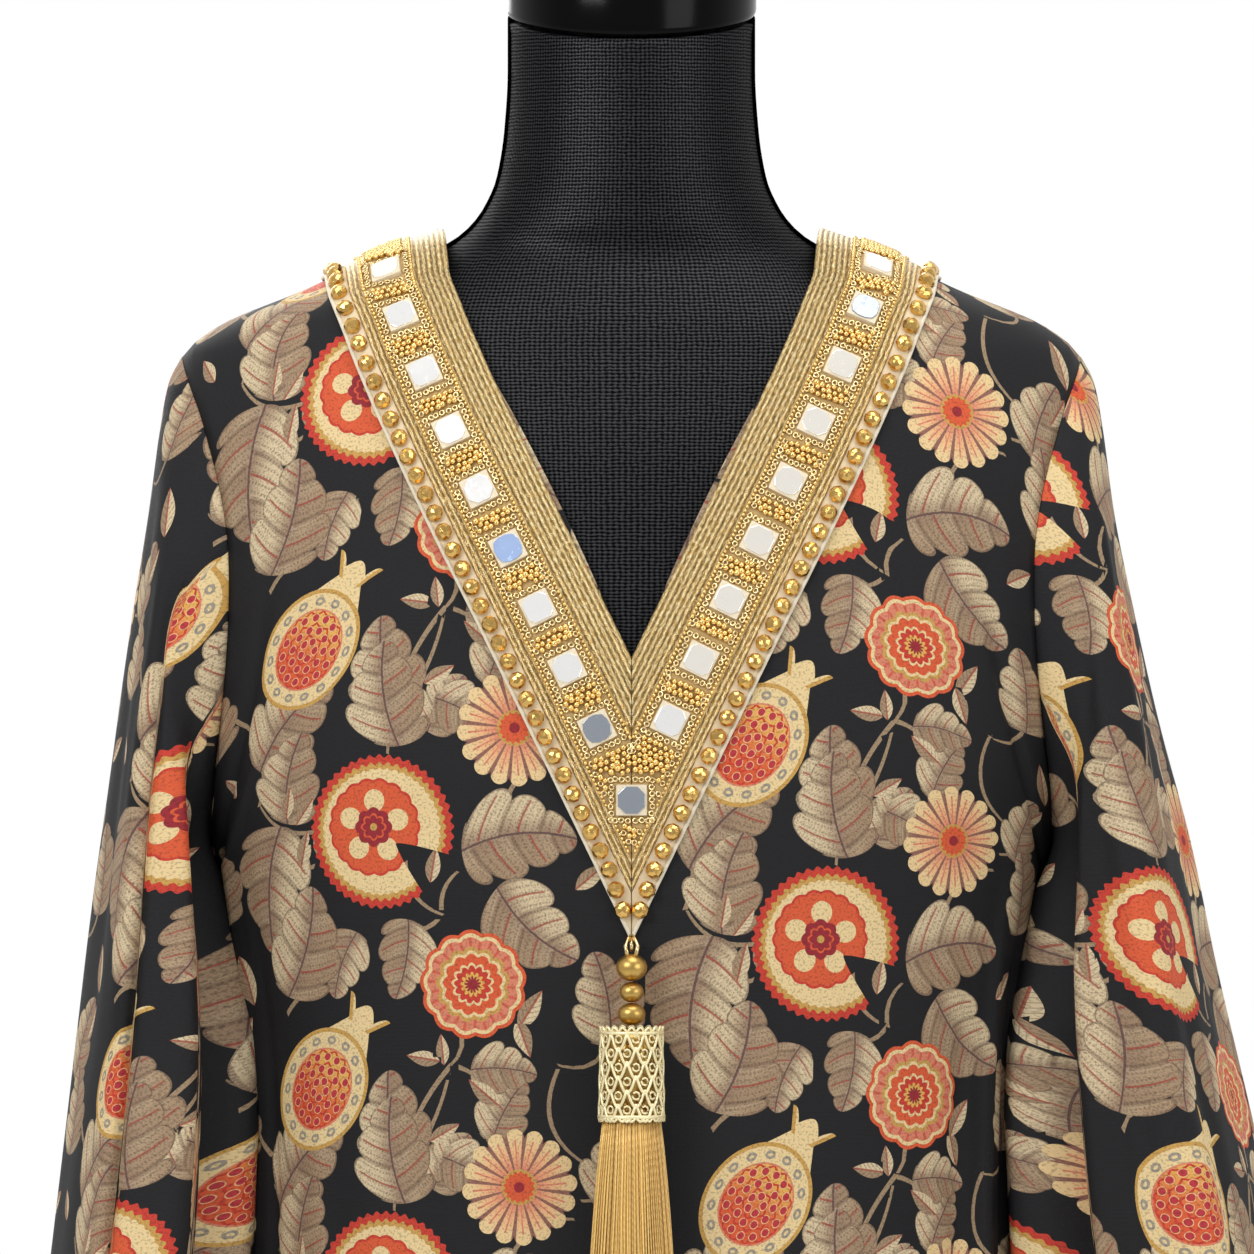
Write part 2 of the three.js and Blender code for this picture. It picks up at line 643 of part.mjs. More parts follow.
for (const sleeve of ["left", "right"]) {
  const sign = sleeve === "left" ? -1 : 1;
  const edge = armholeEdge(sleeve);
  const degrees = edge.map((_, i) => (180 * i) / HIGH_ROWS);
  const ring = (row) => sleeveRing(sleeve, row, degrees).map((p) => p.setX(sign * p.x));
  const plain = ring(0);
  const offset = edge.map((rim, i) => new THREE.Vector3().subVectors(rim.point, plain[i]));
  const outer = [];
  for (let row = 0; row <= SLEEVE_STEPS; row += 1) {
    const fade = 1 - THREE.MathUtils.smoothstep(row / SLEEVE_STEPS, 0, ARMHOLE_FADE);
    outer.push(ring(row).map((p, i) => p.addScaledVector(offset[i], fade)));
  }
  const normals = gridNormals(outer, true).map((row) => row.map((n) => n.multiplyScalar(sign)));
  normals[0] = edge.map((rim) => rim.normal);
  add("sleeve_" + sleeve, wall(outer, moved(outer, normals, -CLOTH), true), CLOTH_BLACK);
}

// A band piece: a row of points for each half bead, every second row with a bead raised.
function band(rows) {
  const outer = [];
  const inner = [];
  rows.forEach(({ side, sign, share }, row) => {
    const places = BAND_PROFILE.map(({ out, lift, beads }) => {
      const from = middleOf(side, out, side === "front" ? SEAM_GAP / 2 : 0);
      const to = seamOf(side, out) - SEAM_GAP / 2;
      const bead = beads && row % 2 === 1 ? BEAD_RISE : 0;
      return { ...onBand(side, lerp(from, to, share), out), lift: lift + bead };
    });
    const over = (place, lift) => {
      const point = overBody(place, BAND_GAP + lift);
      return point.setX(sign * point.x);
    };
    outer.push(places.map((place) => over(place, place.lift)));
    inner.push(places.map((place) => over(place, 0)));
  });
  return wall(outer, inner, false);
}

const BEAD_OUT = BAND_PROFILE.find((row) => row.beads).out;
const beadCount = (side) =>
  Math.round((seamOf(side, BEAD_OUT) - middleOf(side, BEAD_OUT, 0)) / BEAD_PITCH);
const bandRows = (side, sign) =>
  Array.from({ length: beadCount(side) * 2 + 1 }, (_, i, rows = beadCount(side) * 2) => ({
    side,
    sign,
    share: i / rows,
  }));
add("band_left", band(bandRows("front", -1)), BAND_GOLD);
add("band_right", band(bandRows("front", 1)), BAND_GOLD);
const backRows = [...bandRows("back", -1).reverse(), ...bandRows("back", 1).slice(1)];
add("band_back", band(backRows), BAND_GOLD);

// Corners of a mirror: a square plate with cut corners.
const cut = MIRROR_HALF - MIRROR_CORNER;
const MIRROR_CORNERS = [
  [MIRROR_HALF, cut],
  [cut, MIRROR_HALF],
  [-cut, MIRROR_HALF],
  [-MIRROR_HALF, cut],
  [-MIRROR_HALF, -cut],
  [-cut, -MIRROR_HALF],
  [cut, -MIRROR_HALF],
  [MIRROR_HALF, -cut],
];

// A mirror on the band's middle line, following the band under it.
function mirror(side, sign, length) {
  const level = (lift) =>
    MIRROR_CORNERS.map(([run, out]) => {
      const point = overBody(onBand(side, length + run, out), lift);
      return point.setX(sign * point.x);
    });
  return stack([level(MIRROR_LIFT), level(MIRROR_LIFT + MIRROR_THICK)]);
}

// The mirrors on the middle line, at the point of the V and at the back, stand square on it.
function middleMirror(side, height) {
  const level = (lift) =>
    MIRROR_CORNERS.map(([x, up]) => {
      const z = height + up;
      const point = new THREE.Vector3(x, bodyY(x, z, side), z);
      return point.addScaledVector(bodyNormal(point, side), lift);
    });
  return stack([level(MIRROR_LIFT + 0.3), level(MIRROR_LIFT + 0.3 + MIRROR_THICK)]);
}

for (const [side, sign] of [["left", -1], ["right", 1]]) {
  for (let i = 0; i < MIRRORS_A_SIDE; i += 1) {
    const length = MIRROR_START[side] + MIRROR_PITCH * i;
    add(`mirror_${side}_${i + 1}`, mirror("front", sign, length), MIRROR_GLASS);
  }
}
for (let i = 1; i <= MIRRORS_BACK_SIDE; i += 1) {
  const length = middleOf("back", 0, 0) + MIRROR_PITCH * i;
  add(`mirror_back_left_${i}`, mirror("back", -1, length), MIRROR_GLASS);
  add(`mirror_back_right_${i}`, mirror("back", 1, length), MIRROR_GLASS);
}
add("mirror_point", middleMirror("front", BAND_LINE[0].z), MIRROR_GLASS);
add("mirror_back_middle", middleMirror("back", BACK_MIDDLE_Z), MIRROR_GLASS);

// A turned solid on an upright axis in front of the cloth, from its radii and heights.
function turned(profile, sides, y) {
  const points = profile.map(([radius, z]) => new THREE.Vector2(radius, z));
  const geometry = new THREE.LatheGeometry(points, sides);
  return geometry.rotateX(Math.PI / 2).translate(0, y, 0);
}

// A flattened threaded bead between two heights.
function threadedBead(radius, lowZ, highZ) {
  const half = (highZ - lowZ) / 2;
  const profile = [];
  for (let i = 0; i <= 8; i += 1) {
    const turn = (Math.PI * i) / 8 - Math.PI / 2;
    const round = i === 0 || i === 8 ? 0 : radius * Math.cos(turn) ** 0.8;
    profile.push([round, lowZ + half + half * Math.sin(turn)]);
  }
  return turned(profile, 14, TASSEL_Y);
}

let hangZ = TASSEL_TOP_Z;
const loop = new THREE.TorusGeometry(LOOP.radius, LOOP.wire, 6, 14);
loop.rotateY(Math.PI / 2);
loop.scale(1, LOOP.stretch, 1);
loop.translate(0, TASSEL_Y + LOOP.set, hangZ - LOOP.radius);
add("tassel_loop", loop, BEAD_GOLD);
hangZ -= LOOP.radius * 2 + LOOP.wire + SEAM_GAP;
for (const bead of TASSEL_BEADS) {
  const low = hangZ - bead.height;
  add(bead.name, threadedBead(bead.radius, low, hangZ), BEAD_GOLD);
  hangZ = low - SEAM_GAP;
}

// The pierced cap as a plain bell, open below.
const capTop = hangZ;
const capProfile = [
  [0, capTop],
  [CAP.neck, capTop],
  [CAP.shoulder, capTop - CAP.shoulderDrop],
  [CAP.mouth, capTop - CAP.height],
  [CAP.mouth - CAP.wall, capTop - CAP.height],
  [CAP.shoulder - CAP.wall, capTop - CAP.shoulderDrop - CAP.wall / 2],
  [CAP.neck - CAP.wall, capTop - CAP.wall],
  [0, capTop - CAP.wall],
];
add("tassel_cap", turned(capProfile.reverse(), 20, TASSEL_Y), CAP_GOLD);

// Threads: three-sided, spread flatter than they are wide, fused into the head in the cap.
function strand(angle, rootRadius, endRadius, endZ) {
  const root = new THREE.Vector3(Math.cos(angle) * rootRadius, Math.sin(angle) * rootRadius, 0);
  const end = new THREE.Vector3(Math.cos(angle) * endRadius, Math.sin(angle) * endRadius, 0);
  end.y *= STRANDS.flatness;
  const middle = root.clone().lerp(end, 0.45);
  const top = capTop - CAP.height + STRANDS.rooted;
  const levels = [
    { centre: root, z: top },
    { centre: middle, z: lerp(top, endZ, 0.38) },
    { centre: end, z: endZ },
  ];
  const rings = levels.map(({ centre, z }) =>
    [0, 120, 240].map((turn) => {
      const around = angle + radians(turn);
      return new THREE.Vector3(
        centre.x + STRANDS.radius * Math.cos(around),
        TASSEL_Y + centre.y + STRANDS.radius * Math.sin(around),
        z,
      );
    }),
  );
  return stack(rings);
}

const manifold = await Module();
manifold.setup();

function toManifold(geometry) {
  const merged = mergeVertices(geometry.deleteAttribute("normal").deleteAttribute("uv"), 1e-4);
  return new manifold.Manifold(
    new manifold.Mesh({
      numProp: 3,
      vertProperties: merged.attributes.position.array,
      triVerts: new Uint32Array(merged.index.array),
    }),
  );
}

function fromManifold(body) {
  const mesh = body.getMesh();
  const geometry = new THREE.BufferGeometry();
  const numbers = new Float32Array(mesh.numVert * 3);
  for (let i = 0; i < mesh.numVert; i += 1) {
    numbers.set(mesh.vertProperties.subarray(i * mesh.numProp, i * mesh.numProp + 3), i * 3);
  }
  geometry.setAttribute("position", new THREE.BufferAttribute(numbers, 3));
  geometry.setIndex(new THREE.BufferAttribute(mesh.triVerts, 1));
  geometry.computeVertexNormals();
  return geometry;
}

const headTop = capTop - CAP.wall - CAP.shoulderDrop;
const headFoot = capTop - CAP.height + 1;
const head = [
  [0, headTop],
  [STRANDS.head, headTop],
  [STRANDS.head, headFoot],
  [0, headFoot],
];
let threads = toManifold(turned(head.reverse(), 16, TASSEL_Y));
for (const ring of STRAND_RINGS) {
  for (let i = 0; i < ring.count; i += 1) {
    const angle = (2 * Math.PI * (i + ring.shift)) / ring.count;
    const endZ = STRAND_END_Z + 4 * Math.sin(5 * i + ring.root);
    threads = threads.add(toManifold(strand(angle, ring.root, ring.end, endZ)));
  }
}
add("tassel_threads", fromManifold(threads), THREAD_GOLD);

// Dress form: a smooth limbless body with a gloss cap on its neck.
const FORM_SIDES = 28;
const formRing = (ring, lift) =>
  Array.from({ length: FORM_SIDES }, (_, i) => {
    const turn = (2 * Math.PI * i) / FORM_SIDES;
    const reach = Math.sin(turn) < 0 ? ring.front : ring.back;
    const y = reach * signedPower(Math.sin(turn), 2 / ROUNDNESS);
    const x = ring.half * signedPower(Math.cos(turn), 2 / ROUNDNESS);
    return new THREE.Vector3(x, y, ring.z + lift + y * NECK_TILT * ring.tilt);
  });
add("form_torso", stack(FORM_RINGS.map((ring) => formRing(ring, 0))), FORM_BLACK);
const capRings = NECK_CAP_RINGS.map((ring) => formRing({ ...ring, z: FORM_RINGS[0].z, tilt: 1 }, ring.lift));
add("form_neck_cap", stack(capRings), GLOSS_BLACK);

// Stand: a pole under the form and a flat round base on the floor.
const poleTop = FORM_FOOT_Z - SEAM_GAP;
const poleFoot = BASE_THICK + SEAM_GAP - SHOULDER_Z;
const pole = [
  [0, poleFoot],
  [POLE_RADIUS, poleFoot],
  [POLE_RADIUS, poleTop],
  [0, poleTop],
];
add("stand_pole", turned(pole, 20, 0), STAND_BLACK);
const base = [
  [0, -SHOULDER_Z],
  [BASE_RADIUS, -SHOULDER_Z],
  [BASE_RADIUS, BASE_THICK - 4 - SHOULDER_Z],
  [BASE_RADIUS - 5, BASE_THICK - SHOULDER_Z],
  [0, BASE_THICK - SHOULDER_Z],
];
add("stand_base", turned(base, 40, 0), STAND_BLACK);

export default kaftan;
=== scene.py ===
import json
import math

import bpy
import numpy as np
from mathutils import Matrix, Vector

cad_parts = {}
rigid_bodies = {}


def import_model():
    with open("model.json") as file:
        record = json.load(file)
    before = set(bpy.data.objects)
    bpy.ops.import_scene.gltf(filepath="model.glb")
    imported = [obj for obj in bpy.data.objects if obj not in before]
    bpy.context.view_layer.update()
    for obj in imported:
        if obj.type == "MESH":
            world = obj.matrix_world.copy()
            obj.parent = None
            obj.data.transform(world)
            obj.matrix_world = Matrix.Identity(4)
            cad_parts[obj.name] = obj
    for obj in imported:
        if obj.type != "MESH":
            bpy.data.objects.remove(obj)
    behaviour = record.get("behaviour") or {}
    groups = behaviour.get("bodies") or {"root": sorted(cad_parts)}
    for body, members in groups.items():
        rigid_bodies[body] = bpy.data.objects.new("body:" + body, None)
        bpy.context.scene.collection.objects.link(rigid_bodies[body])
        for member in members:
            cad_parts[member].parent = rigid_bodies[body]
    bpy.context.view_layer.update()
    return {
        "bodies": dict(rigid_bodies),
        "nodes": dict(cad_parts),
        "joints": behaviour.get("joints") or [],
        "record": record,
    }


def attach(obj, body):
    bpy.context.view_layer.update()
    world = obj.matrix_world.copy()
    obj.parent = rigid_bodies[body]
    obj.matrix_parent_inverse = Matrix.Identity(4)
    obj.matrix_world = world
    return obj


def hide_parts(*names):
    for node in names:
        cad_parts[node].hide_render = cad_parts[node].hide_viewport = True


bl_info = {
    "name": "Embroidered Kaftan",
    "version": (1, 0, 0),
    "blender": (4, 5, 0),
    "location": "View3D > Sidebar > Kaftan",
    "description": "Builds a printed kaftan with a mirror-work neck band on a dress form",
    "category": "Add Mesh",
}

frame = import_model()

# Lengths here are millimetres and heights are measured from the high point of the shoulder.
# Left and right are as seen from the front, which faces -Y.
MM = 0.001

# The cloth body.
ROUNDNESS = 2.2
CORNER_Z = -55.0
UNDERARM_Z = -285.0
HEM_Z = -1392.0
ARMHOLE_REACH = {"front": 62.0, "back": 58.0}
SIDE_SIGN = {"front": -1.0, "back": 1.0}
SEAM_GAP = 0.3

# The neck band: distances across it count from its middle line, outwards from the neck.
BAND_HALF = 27.5
BAND_GAP = 0.5
NECK_OUT = 1.0 - BAND_HALF
MIRROR_PITCH = 29.9
MIRROR_START = {"left": 35.0, "right": 39.0}
MIRRORS_A_SIDE = 9
MIRRORS_BACK_SIDE = 4
BEAD_PITCH = 9.2
BEAD_OUT = 22.3
TIP_BEAD_SHIFT = 2.4
RIB_PITCH = 2.4

# Small beads: spacing, the two edge rows, the ring beads' frame round a mirror, room round
# the mirrors, and the tassel's place before the body's middle.
FIELD_PITCH = 2.75
EDGE_BEAD_PITCH = 2.05
EDGE_BEAD_OUT = 11.3
RING_FRAME = 8.9
MIRROR_CLEAR = 11.0
POINT_CLEAR = 11.4
TASSEL_Y = -136.0

# Steps of the meshes: panels from the middle to the neck corner and on along the shoulder,
# below and above the underarm, and sleeves from the armhole down.
PANEL_COLUMNS = (44, 22)
PANEL_ROWS = (180, 72)
SLEEVE_STEPS = 124

# Where the print's first medallion lies on each sheet's flat coordinates.
PRINT_START = {
    "front": (-114.0, -268.0), "back": (-60.0, -180.0), "left": (149.0, -262.0),
    "right": (-100.0, -319.0),
}
# Beads over the tassel: solid, radius, foot, top.
TASSEL_BEADS = [
    ("tassel_bead_1", 6.9, -333.9, -321.9), ("tassel_bead_2", 5.4, -343.2, -334.2),
    ("tassel_bead_3", 6.2, -353.5, -343.5),
]

# Sections of the kaftan's body: height, half width, reach to the front and to the back.
BODY_RINGS = np.array([
    (26, 0.5, 30, 30), (19, 40, 44, 44), (10, 66, 52, 53), (0, 88, 59, 60),
    (-7, 110, 62, 63), (-24, 146, 69, 71), (-42, 188, 76, 80), (-55, 203, 81, 86),
    (-75, 209, 89, 93), (-100, 211, 98, 99), (-140, 209, 108, 104), (-180, 206, 116, 106),
    (-220, 202, 121, 106), (-250, 198, 123, 105), (-285, 190, 123, 104),
    (-330, 183, 121, 103), (-380, 179, 118, 103), (-455, 178, 117, 105),
    (-520, 183, 119, 111), (-600, 192, 123, 120), (-700, 208, 130, 132),
    (-850, 236, 142, 147), (-1000, 264, 154, 160), (-1200, 296, 169, 177),
    (-1392, 322, 184, 193),
], dtype=float)

# Long folds: panel, place round it (-1 and 1 are the side seams), width, height at the
# hem, and the height where each starts.
FOLDS = [
    ("front", -0.86, 0.06, -15, -330), ("front", -0.74, 0.07, 17, -420),
    ("front", -0.58, 0.06, -16, -500), ("front", -0.42, 0.08, 19, -560),
    ("front", -0.22, 0.07, -17, -620), ("front", -0.03, 0.09, 20, -680),
    ("front", 0.17, 0.07, -16, -600), ("front", 0.36, 0.08, 18, -640),
    ("front", 0.53, 0.06, -17, -520), ("front", 0.69, 0.07, 17, -400),
    ("front", 0.83, 0.05, -15, -290),
    ("back", -0.82, 0.07, -15, -560), ("back", -0.66, 0.07, 18, -480),
    ("back", -0.47, 0.07, -18, -420), ("back", -0.28, 0.08, 20, -360),
    ("back", -0.1, 0.06, -18, -330), ("back", 0.09, 0.08, 21, -350),
    ("back", 0.29, 0.07, -18, -380), ("back", 0.48, 0.08, 19, -460),
    ("back", 0.66, 0.06, -16, -520), ("back", 0.82, 0.06, 15, -600),
]

# Soft creases: panel, place at the top and at the foot, height of the top and of the foot,
# width, and height of the ridge (negative for a trough).
CREASES = [
    ("front", 0.70, 0.66, -215, -760, 0.020, 2.6), ("front", 0.77, 0.75, -250, -900, 0.016, -3.0),
    ("front", 0.60, 0.58, -300, -700, 0.026, -1.8), ("front", -0.72, -0.68, -240, -800, 0.022, -2.4),
    ("front", -0.80, -0.79, -190, -620, 0.018, 2.8), ("front", -0.55, -0.57, -330, -900, 0.028, 1.8),
    ("front", 0.34, 0.30, -380, -980, 0.030, 1.6), ("front", -0.30, -0.33, -400, -880, 0.028, -1.6),
    ("front", 0.88, 0.84, -120, -420, 0.022, -2.6), ("front", -0.90, -0.86, -130, -440, 0.024, -2.6),
    ("front", 0.46, 0.47, -620, -1300, 0.020, 2.0), ("front", -0.12, -0.14, -700, -1380, 0.022, -2.0),
    ("back", 0.15, 0.20, -150, -700, 0.030, 2.6), ("back", -0.16, -0.22, -160, -760, 0.028, 2.4),
    ("back", 0.0, 0.01, -200, -820, 0.026, -2.8), ("back", 0.52, 0.56, -220, -760, 0.026, -2.2),
    ("back", -0.55, -0.58, -240, -800, 0.026, -2.4), ("back", 0.78, 0.75, -180, -640, 0.022, 2.4),
    ("back", -0.80, -0.76, -170, -620, 0.022, 2.4), ("back", 0.34, 0.37, -520, -1250, 0.022, 1.8),
]

# Sections of the sleeves: outer end left and right, its height, inner end, its height, reach.
SLEEVE_RINGS = np.array([
    (203, 203, -55, 190, -285, 60), (209, 209, -67, 191.5, -291, 64),
    (213, 213, -88, 192.5, -300, 67), (218, 218, -125, 190.5, -318, 71),
    (225, 227, -170, 186, -345, 75), (232, 238, -220, 182, -375, 79),
    (238, 250, -270, 180.5, -408, 84), (244, 261, -325, 180.5, -445, 89),
    (251, 275, -385, 182, -485, 94), (258, 289, -445, 186.5, -528, 99),
    (265, 302, -505, 191.5, -570, 103), (271, 314, -565, 197, -612, 107),
    (277, 325, -622, 203, -652, 110),
], dtype=float)

# Sleeve folds: sleeve, place round it in degrees (0 outermost, 90 front), width, height,
# and the share of the way down where each starts.
SLEEVE_FOLDS = [
    ("left", 48, 17, -8, 0.25), ("left", 128, 20, -9, 0.3), ("left", -52, 20, -9, 0.3),
    ("left", -130, 22, -7, 0.4), ("right", 38, 15, -10, 0.2), ("right", 74, 12, 7, 0.3),
    ("right", 126, 22, -10, 0.3), ("right", -46, 22, -10, 0.25), ("right", -128, 22, -8, 0.4),
]

# Sleeve creases: sleeve, place at the start and end in degrees, start and end as shares of
# the way down, width, height.
SLEEVE_CREASES = [
    ("left", 66, 62, 0.10, 0.62, 9, 2.6), ("left", 88, 84, 0.28, 0.98, 10, -2.8),
    ("left", 30, 34, 0.16, 0.72, 9, -2.4), ("left", 112, 106, 0.08, 0.55, 10, -2.6),
    ("left", 12, 18, 0.42, 1.0, 8, 2.2), ("left", 140, 134, 0.35, 0.9, 10, 2.4),
    ("left", -30, -34, 0.12, 0.75, 10, 2.4), ("left", -74, -70, 0.2, 0.9, 11, -2.6),
    ("left", -110, -104, 0.1, 0.6, 10, 2.4), ("left", 160, 160, 0.0, 1.3, 11, 12),
    ("left", 150, 150, 0.02, 0.7, 9, 9), ("left", 76, 76, 0.10, 1.7, 4, -8),
    ("left", 98, 100, 0.08, 1.6, 15, 8), ("left", 136, 138, 0.04, 1.5, 12, -19),
    ("right", 52, 56, 0.08, 0.55, 8, 2.8), ("right", 88, 94, 0.12, 0.8, 9, -2.8),
    ("right", 22, 20, 0.2, 0.85, 8, -2.4), ("right", 108, 112, 0.3, 0.98, 9, 2.6),
    ("right", 8, 10, 0.38, 1.0, 7, 2.2), ("right", 60, 60, 0.5, 1.0, 8, -2.6),
    ("right", 142, 138, 0.2, 0.75, 10, -2.2), ("right", -34, -38, 0.15, 0.8, 10, 2.4),
    ("right", -72, -76, 0.25, 0.95, 11, -2.4), ("right", -112, -106, 0.1, 0.6, 10, 2.4),
    ("right", 160, 160, 0.0, 1.3, 11, 12), ("right", 150, 150, 0.02, 0.7, 9, 9),
    ("right", 130, 126, 0.04, 1.5, 15, -21), ("right", 82, 80, 0.08, 1.6, 15, 7),
]

# Cloth hidden in a sleeve's pleats: place round the sleeve in degrees, width.
HIDDEN_PLEATS = {"left": ((76, 34.0), (107, 84.0)), "right": ((109, 48.0),)}

# Middle line of the band, from the middle of the body to the shoulder: distance out, height.
BAND_LINE = {
    "front": [(0, -254), (16, -221), (41, -170), (67, -118), (80, -91), (91.5, -66),
              (101.5, -42), (109, -22), (114, -8.5)],
    "back": [(-38, -50), (0, -52), (38, -50), (74, -43), (100, -29), (111, -16), (114, -8.5)],
}
BACK_MIDDLE_Z = -52.0

NECK_TILT = math.tan(math.radians(12.0))

# Sections of the dress form: height, half width, front, back, share of the neck's tilt.
FORM_RINGS = np.array([
    (98, 56, 55, 55, 1), (74, 56, 55, 56, 0.6), (48, 57.5, 56, 58, 0.2), (26, 61, 57, 60, 0),
    (12, 67, 57, 61, 0), (2, 75, 57, 58, 0), (-6, 87, 55, 54, 0), (-14, 107, 57, 57, 0),
    (-24, 132, 62, 64, 0), (-42, 173, 70, 73, 0), (-55, 188, 75, 79, 0), (-75, 191, 83, 86, 0),
    (-100, 185, 92, 92, 0), (-140, 173, 102, 97, 0), (-180, 165, 110, 99, 0),
    (-240, 160, 117, 98, 0), (-285, 156, 115, 94, 0), (-330, 146, 105, 89, 0),
    (-390, 126, 89, 82, 0), (-440, 120, 84, 81, 0), (-500, 134, 89, 91, 0),
    (-570, 154, 98, 104, 0), (-620, 162, 101, 109, 0), (-650, 163, 101, 110, 0),
], dtype=float)

# The printed cloth's repeat, charted in millimetres from one medallion's middle.
REPEAT_ACROSS = (202.0, -50.0)
REPEAT_DOWN = (2.0, -204.0)
# Kind, x, y, size, turn in degrees; a leaf's first number is how far its midrib bows.
BLOSSOMS = [
    (0, 0, 0, 34.0, 0), (1, -27, -108, 39.0, 54), (2, 43, -68, 24.5, 10),
    (3, 64, -158, 26.5, 5),
]
LEAVES = [
    (-0.14, -18, -60, 16, -112), (0.12, 10, -57, 18, -100), (0.18, 7, 74, 24, 104),
    (-0.12, 101, -74, 21, 100), (0.2, 159, 2, 27, 44), (0.12, 57, 79, 16, 62),
    (0.2, 64, -6, 26, 6), (0.12, 33, -147, 15, 56), (-0.18, 146, -76, 30, -98),
    (0.14, 110, -150, 20, 70),
]
LEAVES_OVER = [
    (0.16, -43, 27, 23, 78), (-0.18, 72, -41, 24, -42), (0.12, 57, -107, 15, -4),
    (0.16, 8, -142, 24, 98), (-0.14, 108, 22, 20, 96), (-0.16, -43, -50, 26, 72),
    (0.14, 38, 52, 16, -30),
]
SPRIGS = [
    (1, 25, -15, 8, 80), (1, -39, -8, 9, 76), (1, -31, -6, 7, 105), (1, 69, -79, 10, 58),
    (1, 66, -92, 9, -70), (1, 20, -101, 8, 172), (1, 29, -97, 7, 96), (1, 155, -35, 8, 80),
    (1, 164, -40, 8, 52), (1, 118, -20, 8, 120), (1, 96, -20, 9, 40), (1, 83, -160, 8, 60),
    (1, 120, -118, 12, 110), (1, 46, 88, 9, 140), (1, 116, 62, 9, 60), (1, 30, -134, 8, 30),
]
# Stems: both ends and how far the middle bows to the left of the way.
STEMS = [
    (3, 46, 30, 96, -4), (22, 58, 8, 44, 3), (12, -14, 29, -37, -5), (29, -37, 36, -18, 3),
    (29, -37, 10, -42, 4), (38, -90, 33, -104, 2), (33, -104, 6, -168, -6), (33, -104, 46, -110, 1),
    (-34, -16, -52, -10, 4), (104, -88, 82, -104, 8), (82, -104, 98, -150, -12),
    (168, -50, 138, -34, 6), (138, -34, 132, 8, -6), (132, 8, 112, 50, 4), (112, 50, 90, 40, 3),
    (62, -186, 88, -172, 5), (150, -132, 178, -120, 4),
]

GROUND = (0.0100, 0.0103, 0.0120)
PRINT = {
    "leaf": (0.33, 0.225, 0.135), "leaf_light": (0.60, 0.48, 0.30), "vein": (0.30, 0.05, 0.035),
    "mauve_leaf": (0.20, 0.115, 0.085),
    "leaf_dark": (0.125, 0.075, 0.05), "red": (0.50, 0.045, 0.028), "ochre": (0.50, 0.29, 0.075),
    "cream": (0.70, 0.53, 0.27), "orange": (0.60, 0.095, 0.035), "crimson": (0.27, 0.022, 0.03),
    "crimson_seed": (0.42, 0.035, 0.045),
    "mauve": (0.25, 0.115, 0.085), "peach": (0.72, 0.40, 0.20), "yellow": (0.66, 0.38, 0.09),
    "salmon": (0.60, 0.20, 0.12), "grey": (0.30, 0.26, 0.20), "midrib": (0.10, 0.05, 0.05),
    "stem": (0.30, 0.21, 0.125),
}


class Curve:
    """A smooth line through two columns of numbers, which never overshoots them."""

    def __init__(self, at, value):
        order = np.argsort(at)
        self.at = np.asarray(at, dtype=float)[order]
        self.value = np.asarray(value, dtype=float)[order]
        self.step = np.diff(self.at)
        rise = np.diff(self.value) / self.step
        slope = np.zeros_like(self.value)
        slope[0], slope[-1] = rise[0], rise[-1]
        product = rise[:-1] * rise[1:]
        total = rise[:-1] + rise[1:]
        good = product > 0
        slope[1:-1][good] = 2 * product[good] / total[good]
        self.slope = slope

    def __call__(self, where):
        v = np.clip(np.asarray(where, dtype=float), self.at[0], self.at[-1])
        i = np.clip(np.searchsorted(self.at, v, side="right") - 1, 0, len(self.step) - 1)
        h = self.step[i]
        t = (v - self.at[i]) / h
        start = self.value[i] * (1 + 2 * t) + self.slope[i] * h * t
        end = self.value[i + 1] * (3 - 2 * t) + self.slope[i + 1] * h * (t - 1)
        return start * (1 - t) ** 2 + end * t * t


def solve(rising, value, low, high):
    """Where a rising function of arrays reaches a value."""
    value = np.asarray(value, dtype=float)
    a = np.full(value.shape, float(low))
    b = np.zeros_like(a) + high
    for _ in range(34):
        middle = (a + b) / 2
        below = rising(middle) < value
        a = np.where(below, middle, a)
        b = np.where(below, b, middle)
    return (a + b) / 2


def signed_power(value, power):
    """A power that keeps its base's sign."""
    return np.sign(value) * np.abs(value) ** power


def smoothstep(value):
    """A soft rise from 0 to 1."""
    t = np.clip(value, 0, 1)
    return t * t * (3 - 2 * t)


half_at = Curve(BODY_RINGS[:, 0], BODY_RINGS[:, 1])
reach_at = {
    "front": Curve(BODY_RINGS[:, 0], BODY_RINGS[:, 2]),
    "back": Curve(BODY_RINGS[:, 0], BODY_RINGS[:, 3]),
}


def shoulder_line(x):
    """Height of the shoulder line over a distance from the middle."""
    return -solve(lambda drop: half_at(-drop), np.abs(x), -26, -CORNER_Z + 5)


def body_y(x, z, side):
    """Depth of the body's front or back above the underarm."""
    inside = 1 - (np.abs(x) / half_at(z)) ** ROUNDNESS
    return SIDE_SIGN[side] * reach_at[side](z) * np.maximum(inside, 0) ** (1 / ROUNDNESS)


